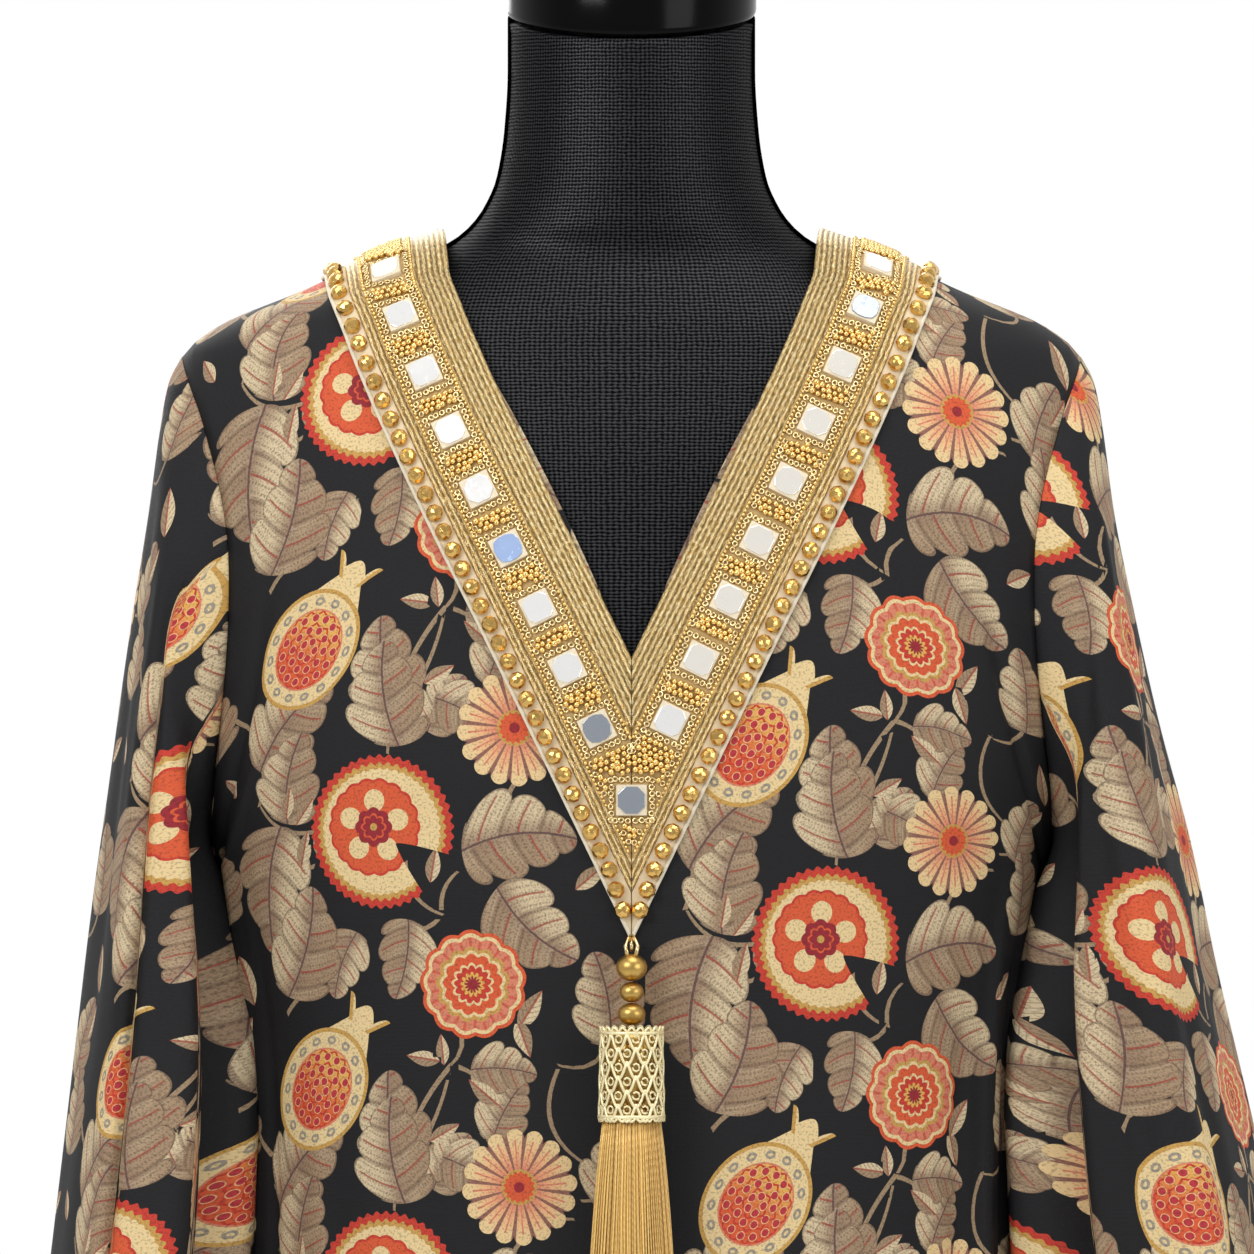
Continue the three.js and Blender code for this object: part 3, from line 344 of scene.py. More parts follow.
def body_normal(points, side):
    """Outward directions of the body's smooth surface."""
    x, y, z = points[..., 0], points[..., 1], points[..., 2]
    half, reach = half_at(z), reach_at[side](z)
    half_slope = half_at(z + 0.5) - half_at(z - 0.5)
    reach_slope = reach_at[side](z + 0.5) - reach_at[side](z - 0.5)
    across, deep = np.abs(x) / half, np.abs(y) / reach
    normal = np.stack([
        np.sign(x) * across ** (ROUNDNESS - 1) / half,
        SIDE_SIGN[side] * deep ** (ROUNDNESS - 1) / reach,
        -(across ** ROUNDNESS) * half_slope / half - deep ** ROUNDNESS * reach_slope / reach,
    ], axis=-1)
    return normal / np.linalg.norm(normal, axis=-1, keepdims=True)


LINE_STEPS = 120


def body_lines(x, side):
    """The body's upright lines: heights, depths and lengths of cloth from the top."""
    top = shoulder_line(x)[..., None]
    share = (np.arange(LINE_STEPS + 1) / LINE_STEPS) ** 2
    z = top + (UNDERARM_Z - 40 - top) * share
    y = body_y(x[..., None], z, side)
    piece = np.hypot(np.diff(z, axis=-1), np.diff(y, axis=-1))
    run = np.concatenate([np.zeros_like(top), np.cumsum(piece, axis=-1)], axis=-1)
    return z, y, run


def on_body(x, up, side):
    """Points on the body found on the opened-out cloth."""
    x, up = np.broadcast_arrays(np.asarray(x, dtype=float), np.asarray(up, dtype=float))
    z, y, run = body_lines(x, side)
    total = run[..., -1]
    want = np.clip(total - up, 0, total)
    i = np.clip((run < want[..., None]).sum(axis=-1), 1, LINE_STEPS)[..., None]
    pick = lambda values, k: np.take_along_axis(values, k, axis=-1)[..., 0]
    low, high = pick(run, i - 1), pick(run, i)
    share = (want - low) / np.maximum(high - low, 1e-9)
    mix = lambda values: pick(values, i - 1) * (1 - share) + pick(values, i) * share
    return np.stack([x, mix(y), mix(z)], axis=-1)


def cloth_length(x, side):
    """Length of cloth over the body from the shoulder line to just below the underarm."""
    return body_lines(np.asarray(x, dtype=float), side)[2][..., -1]


def up_body(x, z, side):
    """How far up the cloth a height lies."""
    x = np.asarray(x, dtype=float)
    return solve(lambda up: on_body(x, up, side)[..., 2], z, 0, 420)


def band_stations(side):
    """Even stations along the band's middle: distance out, way up the cloth, length."""
    line = np.array(BAND_LINE[side], dtype=float)
    up = up_body(line[:, 0], line[:, 1], side)
    run = np.concatenate([[0], np.cumsum(np.hypot(np.diff(line[:, 0]), np.diff(up)))])
    at = np.linspace(0, run[-1], 201)
    x, up = Curve(run, line[:, 0])(at), Curve(run, up)(at)
    length = np.concatenate([[0], np.cumsum(np.hypot(np.diff(x), np.diff(up)))])
    return x, up, length


STATIONS = {side: band_stations(side) for side in SIDE_SIGN}


def on_band(side, length, out):
    """Distance from the middle, and up the cloth, of places on the band."""
    x, up, lengths = STATIONS[side]
    length = np.asarray(length, dtype=float)
    at = np.clip(length, 0.01, lengths[-1] - 0.01)
    i = np.clip(np.searchsorted(lengths, at), 1, len(x) - 1)
    step = lengths[i] - lengths[i - 1]
    head_x, head_up = (x[i] - x[i - 1]) / step, (up[i] - up[i - 1]) / step
    run = length - lengths[i - 1]
    return x[i - 1] + head_x * run + head_up * out, up[i - 1] + head_up * run - head_x * out


def middle_of(side, out, x=0.0):
    """Length along the band where it reaches a distance from the body's middle."""
    out = np.asarray(out, dtype=float)
    return solve(lambda run: on_band(side, run, out)[0], np.zeros_like(out) + x, -120, 120)


def seam_of(side, out):
    """Length along the band where it reaches the shoulder seam."""
    out = np.asarray(out, dtype=float)

    def short(run):
        x, up = on_band(side, run, out)
        return up - cloth_length(x, side)

    return solve(short, np.zeros_like(out), 60, STATIONS[side][2][-1] + 60)


def over_band(side, sign, length, out, lift):
    """Points over the band's ground, on the left (-1) or the right (1)."""
    x, up = on_band(side, length, out)
    points = on_body(x, up, side)
    points = points + body_normal(points, side) * np.asarray(lift, dtype=float)[..., None]
    points[..., 0] *= sign
    return points


def band_frames(side, sign, length, out, lift):
    """Points over the band with its own along, out and up directions as columns."""
    length, out, lift = np.broadcast_arrays(*[np.asarray(v, dtype=float) for v in (length, out, lift)])
    here = over_band(side, sign, length, out, lift)
    along = over_band(side, sign, length + 0.5, out, lift) - over_band(side, sign, length - 0.5, out, lift)
    across = over_band(side, sign, length, out + 0.5, lift) - over_band(side, sign, length, out - 0.5, lift)
    along /= np.linalg.norm(along, axis=-1, keepdims=True)
    normal = np.cross(along, across) * -sign
    normal /= np.linalg.norm(normal, axis=-1, keepdims=True)
    outward = over_band(side, sign, length, out, lift + 1) - here
    flip = np.sign((normal * outward).sum(axis=-1, keepdims=True))
    normal = normal * np.where(flip == 0, 1, flip)
    across = np.cross(normal, along)
    return here, np.stack([along, across, normal], axis=-1)


NECK_SEAM = {side: float(seam_of(side, NECK_OUT)) for side in SIDE_SIGN}
NECK_HALF = float(on_band("front", NECK_SEAM["front"], NECK_OUT)[0])


def neck_edge(x, side):
    """How high the cloth reaches at distances from the middle, inside the neck corners."""
    x = np.asarray(x, dtype=float)
    length = solve(lambda run: on_band(side, run, NECK_OUT)[0], x, -30, NECK_SEAM[side])
    return on_body(x, on_band(side, length, NECK_OUT)[1], side)[..., 2]


def armhole_x(z, side):
    """How far out the cloth reaches at heights."""
    middle = (CORNER_Z + UNDERARM_Z) / 2
    away = np.clip((z - middle) / (CORNER_Z - middle), -1, 1)
    y = ARMHOLE_REACH[side] * np.sqrt(1 - away * away)
    x = half_at(z) * (1 - (y / reach_at[side](z)) ** ROUNDNESS) ** (1 / ROUNDNESS)
    return np.where(z >= CORNER_Z, half_at(CORNER_Z), x)


def skirt_points(place, z, side):
    """Points of the body below the underarm."""
    angle = place * math.pi / 2
    half, reach = half_at(z), reach_at[side](z)
    x = half * signed_power(np.sin(angle), 2 / ROUNDNESS)
    y = SIDE_SIGN[side] * reach * np.abs(np.cos(angle)) ** (2 / ROUNDNESS)
    normal = np.stack([x / half ** 2, y / reach ** 2, 0 * x], axis=-1)
    normal /= np.linalg.norm(normal, axis=-1, keepdims=True)
    height = np.zeros_like(x)
    for name, at, width, tall, start in FOLDS:
        if name != side:
            continue
        growth = np.clip((start - z) / (start - HEM_Z), 0, 1) ** 1.15
        height += tall * growth * np.exp(-(((place - at) / width) ** 2))
    height *= 1 - np.abs(place) ** 12
    return np.stack([x, y, z], axis=-1) + normal * height[..., None]


def crease_height(side, place, z):
    """Height of a panel's soft creases over its folds."""
    height = np.zeros_like(z)
    for name, top_at, foot_at, top, foot, width, tall in CREASES:
        if name != side:
            continue
        share = (top - z) / (top - foot)
        at = top_at + (foot_at - top_at) * share
        window = smoothstep(share / 0.3) * smoothstep((1 - share) / 0.45)
        height += 1.4 * tall * window * np.exp(-(((place - at) / width) ** 2))
    return height * (1 - np.abs(place) ** 16)


def panel_grid(side, neck_columns, shoulder_columns, low_rows, high_rows):
    """Outer points of a panel, with its flat cloth coordinates, from the hem up."""
    count = neck_columns + shoulder_columns
    i = np.arange(1, count + 1)
    start = float(middle_of(side, NECK_OUT))
    on_neck = start + (NECK_SEAM[side] - start) * np.minimum(i / neck_columns, 1) ** 0.85
    neck_x = np.where(i < neck_columns, on_band(side, on_neck, NECK_OUT)[0], NECK_HALF)
    on_shoulder = np.maximum(i - neck_columns, 0) / shoulder_columns
    corner = float(half_at(CORNER_Z))
    top = neck_x + (corner - neck_x) * on_shoulder
    place = np.concatenate([-(i / count)[::-1], [0], i / count])
    top = np.concatenate([-top[::-1], [0], top])
    k = np.arange(low_rows + 1)
    low_z = UNDERARM_Z + (HEM_Z - UNDERARM_Z) * (1 - k / low_rows) ** 1.15
    grid_place, grid_z = np.meshgrid(place, low_z)
    low = skirt_points(grid_place, grid_z, side)
    in_neck = np.abs(top) < NECK_HALF - 0.01
    top_z = np.maximum(shoulder_line(top), CORNER_Z)
    top_z[in_neck] = neck_edge(np.abs(top[in_neck]), side)
    share = (1 - np.cos(np.pi * np.arange(1, high_rows + 1) / high_rows)) / 2
    share = share[:, None]
    across = signed_power(np.sin(place * math.pi / 2), 2 / ROUNDNESS)[None, :]
    across = across + (top[None, :] / corner - across) * share
    z = UNDERARM_Z + (top_z[None, :] - UNDERARM_Z) * share
    x = armhole_x(z, side) * across
    high = np.stack([x, body_y(x, z, side), z], axis=-1)
    points = np.concatenate([low, high], axis=0)
    flat = np.zeros(points.shape[:2] + (2,))
    steps = np.linalg.norm(np.diff(low[..., :2], axis=1), axis=-1)
    along = np.concatenate([np.zeros((len(low), 1)), np.cumsum(steps, axis=1)], axis=1)
    flat[: len(low), :, 0] = along - along[:, count: count + 1]
    shares = np.linspace(0, 1, 33)[:, None, None]
    cut_y = body_y(x * shares, np.broadcast_to(z, (33,) + z.shape), side)
    arcs = np.hypot(np.diff(x * shares, axis=0), np.diff(cut_y, axis=0)).sum(axis=0)
    flat[len(low):, :, 0] = np.sign(x) * arcs
    flat[: len(low), :, 1] = grid_z
    rise = np.linalg.norm(np.diff(points[low_rows:, :, 1:], axis=0), axis=-1)
    flat[len(low):, :, 1] = UNDERARM_Z + np.cumsum(rise, axis=0)
    height = crease_height(side, np.broadcast_to(place, points.shape[:2]), points[..., 2])
    normals = grid_normals(points, False) * (1 if side == "front" else -1)
    points = points + normals * height[..., None]
    edge = SIDE_SIGN[side] * SEAM_GAP / 2
    keep = np.minimum if side == "front" else np.maximum
    points[..., 1] = keep(points[..., 1], edge)
    return points, normals, flat, edge


def grid_normals(grid, around):
    """Outward directions at the points of a grid."""
    if around:
        across = np.roll(grid, -1, axis=1) - np.roll(grid, 1, axis=1)
    else:
        across = np.empty_like(grid)
        across[:, 1:-1] = grid[:, 2:] - grid[:, :-2]
        across[:, 0], across[:, -1] = grid[:, 1] - grid[:, 0], grid[:, -1] - grid[:, -2]
    up = np.empty_like(grid)
    up[1:-1] = grid[2:] - grid[:-2]
    up[0], up[-1] = grid[1] - grid[0], grid[-1] - grid[-2]
    normal = np.cross(across, up)
    return normal / np.maximum(np.linalg.norm(normal, axis=-1, keepdims=True), 1e-9)


# ---------------------------------------------------------------- meshes


def in_metres(points):
    """Table millimetres as the frame's metres."""
    points = np.asarray(points, dtype=float) * MM
    points[..., 2] += bpy.context.scene.kaftan_sizes.shoulder_height
    return points


def make_piece(name, points, faces, materials, slot_of=None, smooth=True):
    """A shown piece from points in table millimetres and faces of any size."""
    mesh = bpy.data.meshes.new(name)
    mesh.from_pydata(in_metres(points).tolist(), [], [list(map(int, f)) for f in faces])
    for item in materials:
        mesh.materials.append(item)
    if slot_of is not None:
        mesh.polygons.foreach_set("material_index", np.asarray(slot_of, dtype=np.int32))
    mesh.polygons.foreach_set("use_smooth", np.full(len(mesh.polygons), smooth))
    mesh.validate()
    mesh.update()
    piece = bpy.data.objects.new(name, mesh)
    bpy.context.collection.objects.link(piece)
    return piece


def corner_points(piece):
    """The number of the point at each face corner."""
    index = np.zeros(len(piece.data.loops), dtype=np.int32)
    piece.data.loops.foreach_get("vertex_index", index)
    return index


def lay_flat(piece, name, corners):
    """Stores the flat coordinates of a piece's face corners, in metres."""
    layer = piece.data.uv_layers.new(name=name)
    layer.data.foreach_set("uv", np.asarray(corners, dtype=np.float32).ravel())


def grid_faces(rows, columns, around=False):
    """Faces of a grid of points, numbered row by row."""
    across = columns if around else columns - 1
    r, c = np.meshgrid(np.arange(rows - 1), np.arange(across), indexing="ij")
    r, c = r.ravel(), c.ravel()
    after = (c + 1) % columns
    corners = [r * columns + c, r * columns + after, (r + 1) * columns + after, (r + 1) * columns + c]
    return np.stack(corners, axis=1)


def nearest_repeats(centre, home):
    """The middles of the nine repeats of a place that lie round each centre."""
    ways = np.array([REPEAT_ACROSS, REPEAT_DOWN])
    cell = np.round((centre - home) @ np.linalg.inv(ways))
    for i in (-1, 0, 1):
        for j in (-1, 0, 1):
            yield home + (cell + (i, j)) @ ways


def motif_places(corners, table):
    """Each face corner's place in its nearest motif, and that motif's kind.

    corners holds the flat cloth coordinates of each face's corners."""
    centre = corners.mean(axis=1)
    best = np.full(len(centre), 9.0)
    result = np.full(corners.shape[:2] + (3,), 9.0)
    result[..., 2] = -5
    for kind, x, y, size, turn in table:
        cos, sin = math.cos(math.radians(turn)), math.sin(math.radians(turn))
        for middle in nearest_repeats(centre, np.array([x, y])):
            far = np.linalg.norm(centre - middle, axis=1) / size
            near = far < best
            best[near] = far[near]
            away = (corners[near] - middle[near][:, None, :]) / size
            result[near, :, 0] = away[..., 0] * cos + away[..., 1] * sin
            result[near, :, 1] = -away[..., 0] * sin + away[..., 1] * cos
            result[near, :, 2] = kind
    return result


def stem_places(corners):
    """Each face corner's place along and beside its nearest stem, in millimetres."""
    centre = corners.mean(axis=1)
    best = np.full(len(centre), 1e9)
    result = np.full(corners.shape[:2] + (3,), 99.0)
    for x0, y0, x1, y1, bow in STEMS:
        start, end = np.array([x0, y0], float), np.array([x1, y1], float)
        length = np.linalg.norm(end - start)
        way = (end - start) / length
        side = np.array([-way[1], way[0]])
        for middle in nearest_repeats(centre, (start + end) / 2):
            away = centre - middle
            u, v = away @ way, away @ side
            v = v - bow * (1 - (2 * u / length) ** 2)
            far = np.hypot(v, np.maximum(np.abs(u) - length / 2, 0))
            near = far < best
            best[near] = far[near]
            spread = corners[near] - middle[near][:, None, :]
            result[near, :, 0] = (spread @ way) * 2 / length
            result[near, :, 1] = spread @ side - bow * (1 - result[near, :, 0] ** 2)
    return result


def taken(piece):
    """The points and faces of an object, which is then removed."""
    mesh = piece.data
    points = np.array([v.co[:] for v in mesh.vertices])
    faces = [list(p.vertices) for p in mesh.polygons]
    bpy.data.objects.remove(piece)
    bpy.data.meshes.remove(mesh)
    return points, faces


def template(make, **settings):
    """A primitive added by its own tool, taken as points and faces for repeating."""
    bpy.ops.object.select_all(action="DESELECT")
    make(**settings)
    return taken(bpy.context.object)


def repeat(shape, places, turns, scales):
    """One joined set of points and faces from a shape set at many places."""
    points, faces = shape
    places = np.asarray(places, dtype=float).reshape(-1, 3)
    scales = np.broadcast_to(np.asarray(scales, dtype=float), (len(places), 3))
    sized = points[None] * scales[:, None, :]
    placed = np.einsum("nij,nkj->nki", turns, sized) + places[:, None, :]
    all_faces = []
    for i in range(len(places)):
        base = i * len(points)
        all_faces.extend([[v + base for v in face] for face in faces])
    return placed.reshape(-1, 3), all_faces


def joined(*parts):
    """Several sets of points and faces as one."""
    points, faces, base = [], [], 0
    for some_points, some_faces in parts:
        points.append(np.asarray(some_points))
        faces.extend([[v + base for v in face] for face in some_faces])
        base += len(some_points)
    return np.concatenate(points), faces


def swept(path, radius, sides=6, closed=False):
    """A round bar along a row of points, closed at its ends unless it is a loop."""
    path = np.asarray(path, dtype=float)
    if closed:
        heading = np.roll(path, -1, axis=0) - np.roll(path, 1, axis=0)
    else:
        heading = np.gradient(path, axis=0)
    heading /= np.linalg.norm(heading, axis=1, keepdims=True)
    guide = np.array([0.31, 0.17, 0.93])
    side = np.cross(heading, guide)
    side /= np.linalg.norm(side, axis=1, keepdims=True)
    other = np.cross(heading, side)
    turn = 2 * np.pi * np.arange(sides) / sides
    radius = np.broadcast_to(radius, (len(path),))[:, None, None]
    ring = side[:, None] * np.cos(turn)[None, :, None] + other[:, None] * np.sin(turn)[None, :, None]
    points = (path[:, None] + ring * radius).reshape(-1, 3)
    rows = len(path)
    faces = grid_faces(rows, sides, True)[:, ::-1].tolist()
    if closed:
        last = (rows - 1) * sides
        for c in range(sides):
            after = (c + 1) % sides
            faces.append([c, after, last + after, last + c])
    else:
        faces.append(list(range(sides)))
        faces.append([(rows - 1) * sides + c for c in reversed(range(sides))])
    return points, faces


# ---------------------------------------------------------------- finishes


class Wire:
    """A number flowing through a material's nodes, written as ordinary sums."""

    def __init__(self, tree, socket):
        self.tree = tree
        self.socket = socket

    def math(self, operation, *others, clamp=False):
        node = self.tree.nodes.new("ShaderNodeMath")
        node.operation = operation
        node.use_clamp = clamp
        for place, value in enumerate((self,) + others):
            if isinstance(value, Wire):
                self.tree.links.new(value.socket, node.inputs[place])
            else:
                node.inputs[place].default_value = value
        return Wire(self.tree, node.outputs[0])

    def __add__(self, other):
        return self.math("ADD", other)

    def __radd__(self, other):
        return self.math("ADD", other)

    def __sub__(self, other):
        return self.math("SUBTRACT", other)

    def __rsub__(self, other):
        return (self * -1.0) + other

    def __mul__(self, other):
        return self.math("MULTIPLY", other)

    def __rmul__(self, other):
        return self.math("MULTIPLY", other)

    def __truediv__(self, other):
        return self.math("DIVIDE", other)

    def below(self, other):
        return self.math("LESS_THAN", other)

    def above(self, other):
        return self.math("GREATER_THAN", other)

    def within(self, middle, reach):
        return self.math("COMPARE", middle, reach)


class Finish:
    """A material being put together for this kaftan."""

    def __init__(self, name, color, roughness, metallic=0.0):
        self.material = bpy.data.materials.new(name)
        self.material.use_nodes = True
        self.material.diffuse_color = (*color, 1)
        self.tree = self.material.node_tree
        self.shader = self.tree.nodes["Principled BSDF"]
        self.set("Base Color", (*color, 1))
        self.set("Roughness", roughness)
        self.set("Metallic", metallic)

    def set(self, name, value):
        socket = self.shader.inputs[name]
        if isinstance(value, Wire):
            self.tree.links.new(value.socket, socket)
        elif hasattr(value, "is_output"):
            self.tree.links.new(value, socket)
        else:
            socket.default_value = value

    def node(self, kind, **settings):
        node = self.tree.nodes.new(kind)
        for key, value in settings.items():
            setattr(node, key, value)
        return node

    def attribute(self, name):
        node = self.node("ShaderNodeAttribute", attribute_name=name)
        parts = self.node("ShaderNodeSeparateXYZ")
        self.tree.links.new(node.outputs["Vector"], parts.inputs[0])
        return [Wire(self.tree, parts.outputs[k]) for k in range(3)], node.outputs["Vector"]

    def uv(self, name="cloth", scale=1.0):
        """The piece's own flat coordinates in metres, times a scale."""
        node = self.node("ShaderNodeUVMap", uv_map=name)
        sized = self.node("ShaderNodeVectorMath", operation="SCALE")
        self.tree.links.new(node.outputs[0], sized.inputs[0])
        sized.inputs["Scale"].default_value = scale
        return sized.outputs[0]

    def place(self, scale=1.0):
        """Coordinates of the piece itself in metres, times a scale."""
        node = self.node("ShaderNodeTexCoord")
        sized = self.node("ShaderNodeVectorMath", operation="SCALE")
        self.tree.links.new(node.outputs["Object"], sized.inputs[0])
        sized.inputs["Scale"].default_value = scale
        return sized.outputs[0]

    def vector(self, x, y):
        node = self.node("ShaderNodeCombineXYZ")
        self.tree.links.new(x.socket, node.inputs[0])
        self.tree.links.new(y.socket, node.inputs[1])
        return node.outputs[0]

    def noise(self, vector, scale, detail=2.0, rough=0.5):
        node = self.node("ShaderNodeTexNoise")
        self.tree.links.new(vector, node.inputs["Vector"])
        node.inputs["Scale"].default_value = scale
        node.inputs["Detail"].default_value = detail
        node.inputs["Roughness"].default_value = rough
        return Wire(self.tree, node.outputs["Fac"])

    def cells(self, vector, scale, spread=0.8):
        node = self.node("ShaderNodeTexVoronoi")
        self.tree.links.new(vector, node.inputs["Vector"])
        node.inputs["Scale"].default_value = scale
        node.inputs["Randomness"].default_value = spread
        return Wire(self.tree, node.outputs["Distance"])

    def wave(self, vector, scale, direction="X", twist=0.0):
        node = self.node("ShaderNodeTexWave", bands_direction=direction)
        self.tree.links.new(vector, node.inputs["Vector"])
        node.inputs["Scale"].default_value = scale
        node.inputs["Distortion"].default_value = twist
        return Wire(self.tree, node.outputs["Fac"])

    def mix(self, share, low, high):
        """One colour laid over another by a share from 0 to 1."""
        node = self.node("ShaderNodeMix", data_type="RGBA")
        self.tree.links.new(share.socket, node.inputs[0])
        for place, value in ((6, low), (7, high)):
            if isinstance(value, tuple):
                node.inputs[place].default_value = (*value, 1)
            else:
                self.tree.links.new(value, node.inputs[place])
        return node.outputs[2]

    def step(self, value, low, high):
        """Runs smoothly from 0 at low to 1 at high."""
        node = self.node("ShaderNodeMapRange", interpolation_type="SMOOTHSTEP")
        self.tree.links.new(value.socket, node.inputs["Value"])
        node.inputs["From Min"].default_value = low
        node.inputs["From Max"].default_value = high
        return Wire(self.tree, node.outputs[0])

    def bump(self, height, distance, strength=1.0):
        node = self.node("ShaderNodeBump")
        self.tree.links.new(height.socket, node.inputs["Height"])
        node.inputs["Distance"].default_value = distance
        node.inputs["Strength"].default_value = strength
        self.tree.links.new(node.outputs[0], self.shader.inputs["Normal"])


def polar(x, y):
    """Distance from the middle and angle of a place."""
    return (x * x + y * y).math("SQRT"), y.math("ARCTAN2", x)


def leaf_print(finish, attribute, ground):
    """Lobed leaves with swept veins and stippled, shaded lobes over a ground colour."""
    (x, y, bow), vector = finish.attribute(attribute)
    y = y - (1.0 - x * x) * bow
    side = y.math("ABSOLUTE")
    sweep = (x - side * 0.30 - side * side * 0.42) * 4.5 + y.above(0.0) * 0.9 + 0.7
    lobe = sweep.math("SINE").math("ABSOLUTE").math("POWER", 0.42)
    body = (1.0 - x * x).math("MAXIMUM", 0.0).math("POWER", 0.46)
    width = body * (1.0 - (x + 0.3) * 0.36) * (lobe * 0.27 + 0.58)
    across = (sweep / math.pi).math("FRACT")
    fine = (sweep * 10.0).math("SINE")
    dash = (x * 60.0 + side * 80.0).math("SINE").above(-0.3)
    stipple = finish.cells(vector, 40.0, 1.0)
    lit = finish.step(y * 1.1 + across * 0.5 + side * 0.5, -0.1, 0.95)
    tone = finish.mix(lit, PRINT["leaf"], PRINT["leaf_light"])
    tone = finish.mix(finish.step(side, 0.34, 0.0) * 0.42, tone, PRINT["mauve_leaf"])
    crease = finish.step(across.within(0.0, 0.10) + across.within(1.0, 0.06), 0.0, 1.0)
    tone = finish.mix(crease * side.above(0.06) * 0.38, tone, PRINT["leaf_dark"])
    tone = finish.mix(fine.above(0.55) * dash * 0.42, tone, PRINT["leaf_dark"])
    tone = finish.mix(stipple.below(0.30) * 0.55, tone, PRINT["leaf_dark"])
    veins = across.within(0.5, 0.030) * side.above(0.03) * side.below(width * 0.86)
    tone = finish.mix((side - width).above(-0.03) * 0.6, tone, PRINT["leaf_dark"])
    tone = finish.mix(veins * 0.8, tone, PRINT["vein"])
    tone = finish.mix(side.below(0.020) * 0.85, tone, PRINT["midrib"])
    return finish.mix(side.below(width), ground, tone)


def sprig_print(finish, ground):
    """Small pointed leaves with one vein."""
    (x, y, _), _ = finish.attribute("sprig")
    side = y.math("ABSOLUTE")
    width = (1.0 - x * x).math("MAXIMUM", 0.0) * (0.42 - x * 0.12)
    lit = finish.mix(y.above(0.0), PRINT["leaf_light"], PRINT["leaf"])
    veins = ((x - side) * 22.0).math("SINE").above(0.8)
    tone = finish.mix(veins * 0.5, lit, PRINT["leaf_dark"])
    tone = finish.mix(side.below(0.05) * 0.8, tone, PRINT["vein"])
    return finish.mix(side.below(width), ground, tone)


def stem_print(finish, ground):
    """Thin stems, narrower at one end."""
    (along, beside, _), _ = finish.attribute("stem")
    mask = beside.math("ABSOLUTE").below(0.95 - along * 0.25) * along.math("ABSOLUTE").below(1.03)
    return finish.mix(mask, ground, PRINT["stem"])


def medallion(finish, x, y, radius, angle):
    """A notched round flower: toothed red rim, ochre ring, cream field and red bloom."""
    teeth = (angle * 46.0).math("COSINE")
    rim = radius + teeth * 0.022
    tone = finish.mix(rim.below(0.90), PRINT["red"], PRINT["ochre"])
    tone = finish.mix((radius + teeth * 0.012).below(0.83), tone, PRINT["cream"])
    bx, by = x + 0.09, y - 0.06
    bloom, turn = polar(bx, by)
    scallop = (turn * 9.0).math("COSINE").math("ABSOLUTE")
    tone = finish.mix((bloom - scallop * 0.035).below(0.62), tone, PRINT["red"])
    tone = finish.mix((bloom - scallop * 0.035).below(0.585), tone, PRINT["orange"])
    fifth = (turn + 0.35).math("PINGPONG", math.pi / 5)
    px, py = bloom * (math.pi / 5 - fifth).math("COSINE"), bloom * (math.pi / 5 - fifth).math("SINE")
    petal = ((px - 0.35) * 6.6).math("POWER", 2.0) + (py * 7.0).math("POWER", 2.0)
    tone = finish.mix(petal.below(1.0), tone, PRINT["cream"])
    heart = bloom - (turn * 4.0).math("COSINE").math("ABSOLUTE") * 0.04
    tone = finish.mix(heart.below(0.225), tone, PRINT["crimson"])
    tone = finish.mix(heart.within(0.13, 0.014), tone, PRINT["orange"])
    tone = finish.mix(bloom.below(0.05), tone, PRINT["ochre"])
    along = x * math.cos(-0.62) + y * math.sin(-0.62)
    beside = (y * math.cos(-0.62) - x * math.sin(-0.62)).math("ABSOLUTE")
    notch = along.above(0.27) * beside.below((along - 0.27).math("MAXIMUM", 0.0).math("POWER", 0.8) * 0.42)
    mask = rim.below(1.0) * (1.0 - notch)
    return tone, mask


def pomegranate(finish, x, y):
    """A fruit cut open: dotted cream rind, warm flesh with seeds, and a pointed crown."""
    body, turn = polar((x + 0.24) / 0.76, y / 0.60)
    side = y.math("ABSOLUTE")
    shoulder = side.below((0.70 - x) * 0.55 + 0.15) * x.above(0.06) * x.below(0.72) * side.below(0.53)
    teeth = (y * 11.0).math("COSINE").math("ABSOLUTE") * 0.14
    crown = side.below((x - 0.68) * 0.6 + 0.16) * x.above(0.66) * x.below(teeth + 0.80)
    mask = (body.below(1.0) + shoulder + crown).math("MINIMUM", 1.0)
    dots = ((turn * 15.0).math("COSINE") * 0.5 + 0.5).math("POWER", 1.4)
    ring = (1.0 - ((body - 0.80) * 10.0).math("ABSOLUTE")).math("MAXIMUM", 0.0)
    tone = finish.mix((dots * ring).above(0.28), PRINT["cream"], PRINT["grey"])
    tone = finish.mix((dots * ring).above(0.74), tone, PRINT["cream"])
    tone = finish.mix(body.within(0.965, 0.035), tone, PRINT["ochre"])
    flesh = finish.mix(finish.step(x, -0.45, 0.2), PRINT["orange"], PRINT["yellow"])
    for count, middle in ((15.0, 0.53), (10.0, 0.33), (5.0, 0.14)):
        hump = (turn * (count / 2)).math("COSINE").math("ABSOLUTE")
        reach = body - middle
        flesh = finish.mix((reach + hump * 0.06).within(0.115, 0.020), flesh, PRINT["red"])
        seed = reach * reach + (1.0 - hump) * (8 * middle ** 2 / count ** 2)
        flesh = finish.mix(seed.below(0.074 ** 2), flesh, PRINT["peach"])
        flesh = finish.mix(seed.below(0.060 ** 2), flesh, PRINT["crimson_seed"])
    tone = finish.mix(body.below(0.675), tone, PRINT["salmon"])
    tone = finish.mix(body.below(0.645), tone, flesh)
    tone = finish.mix(crown * x.above(0.68), tone, PRINT["cream"])
    tip = side.above((x - 0.68) * 0.6 + 0.11) * crown
    tone = finish.mix(tip, tone, PRINT["ochre"])
    return tone, mask


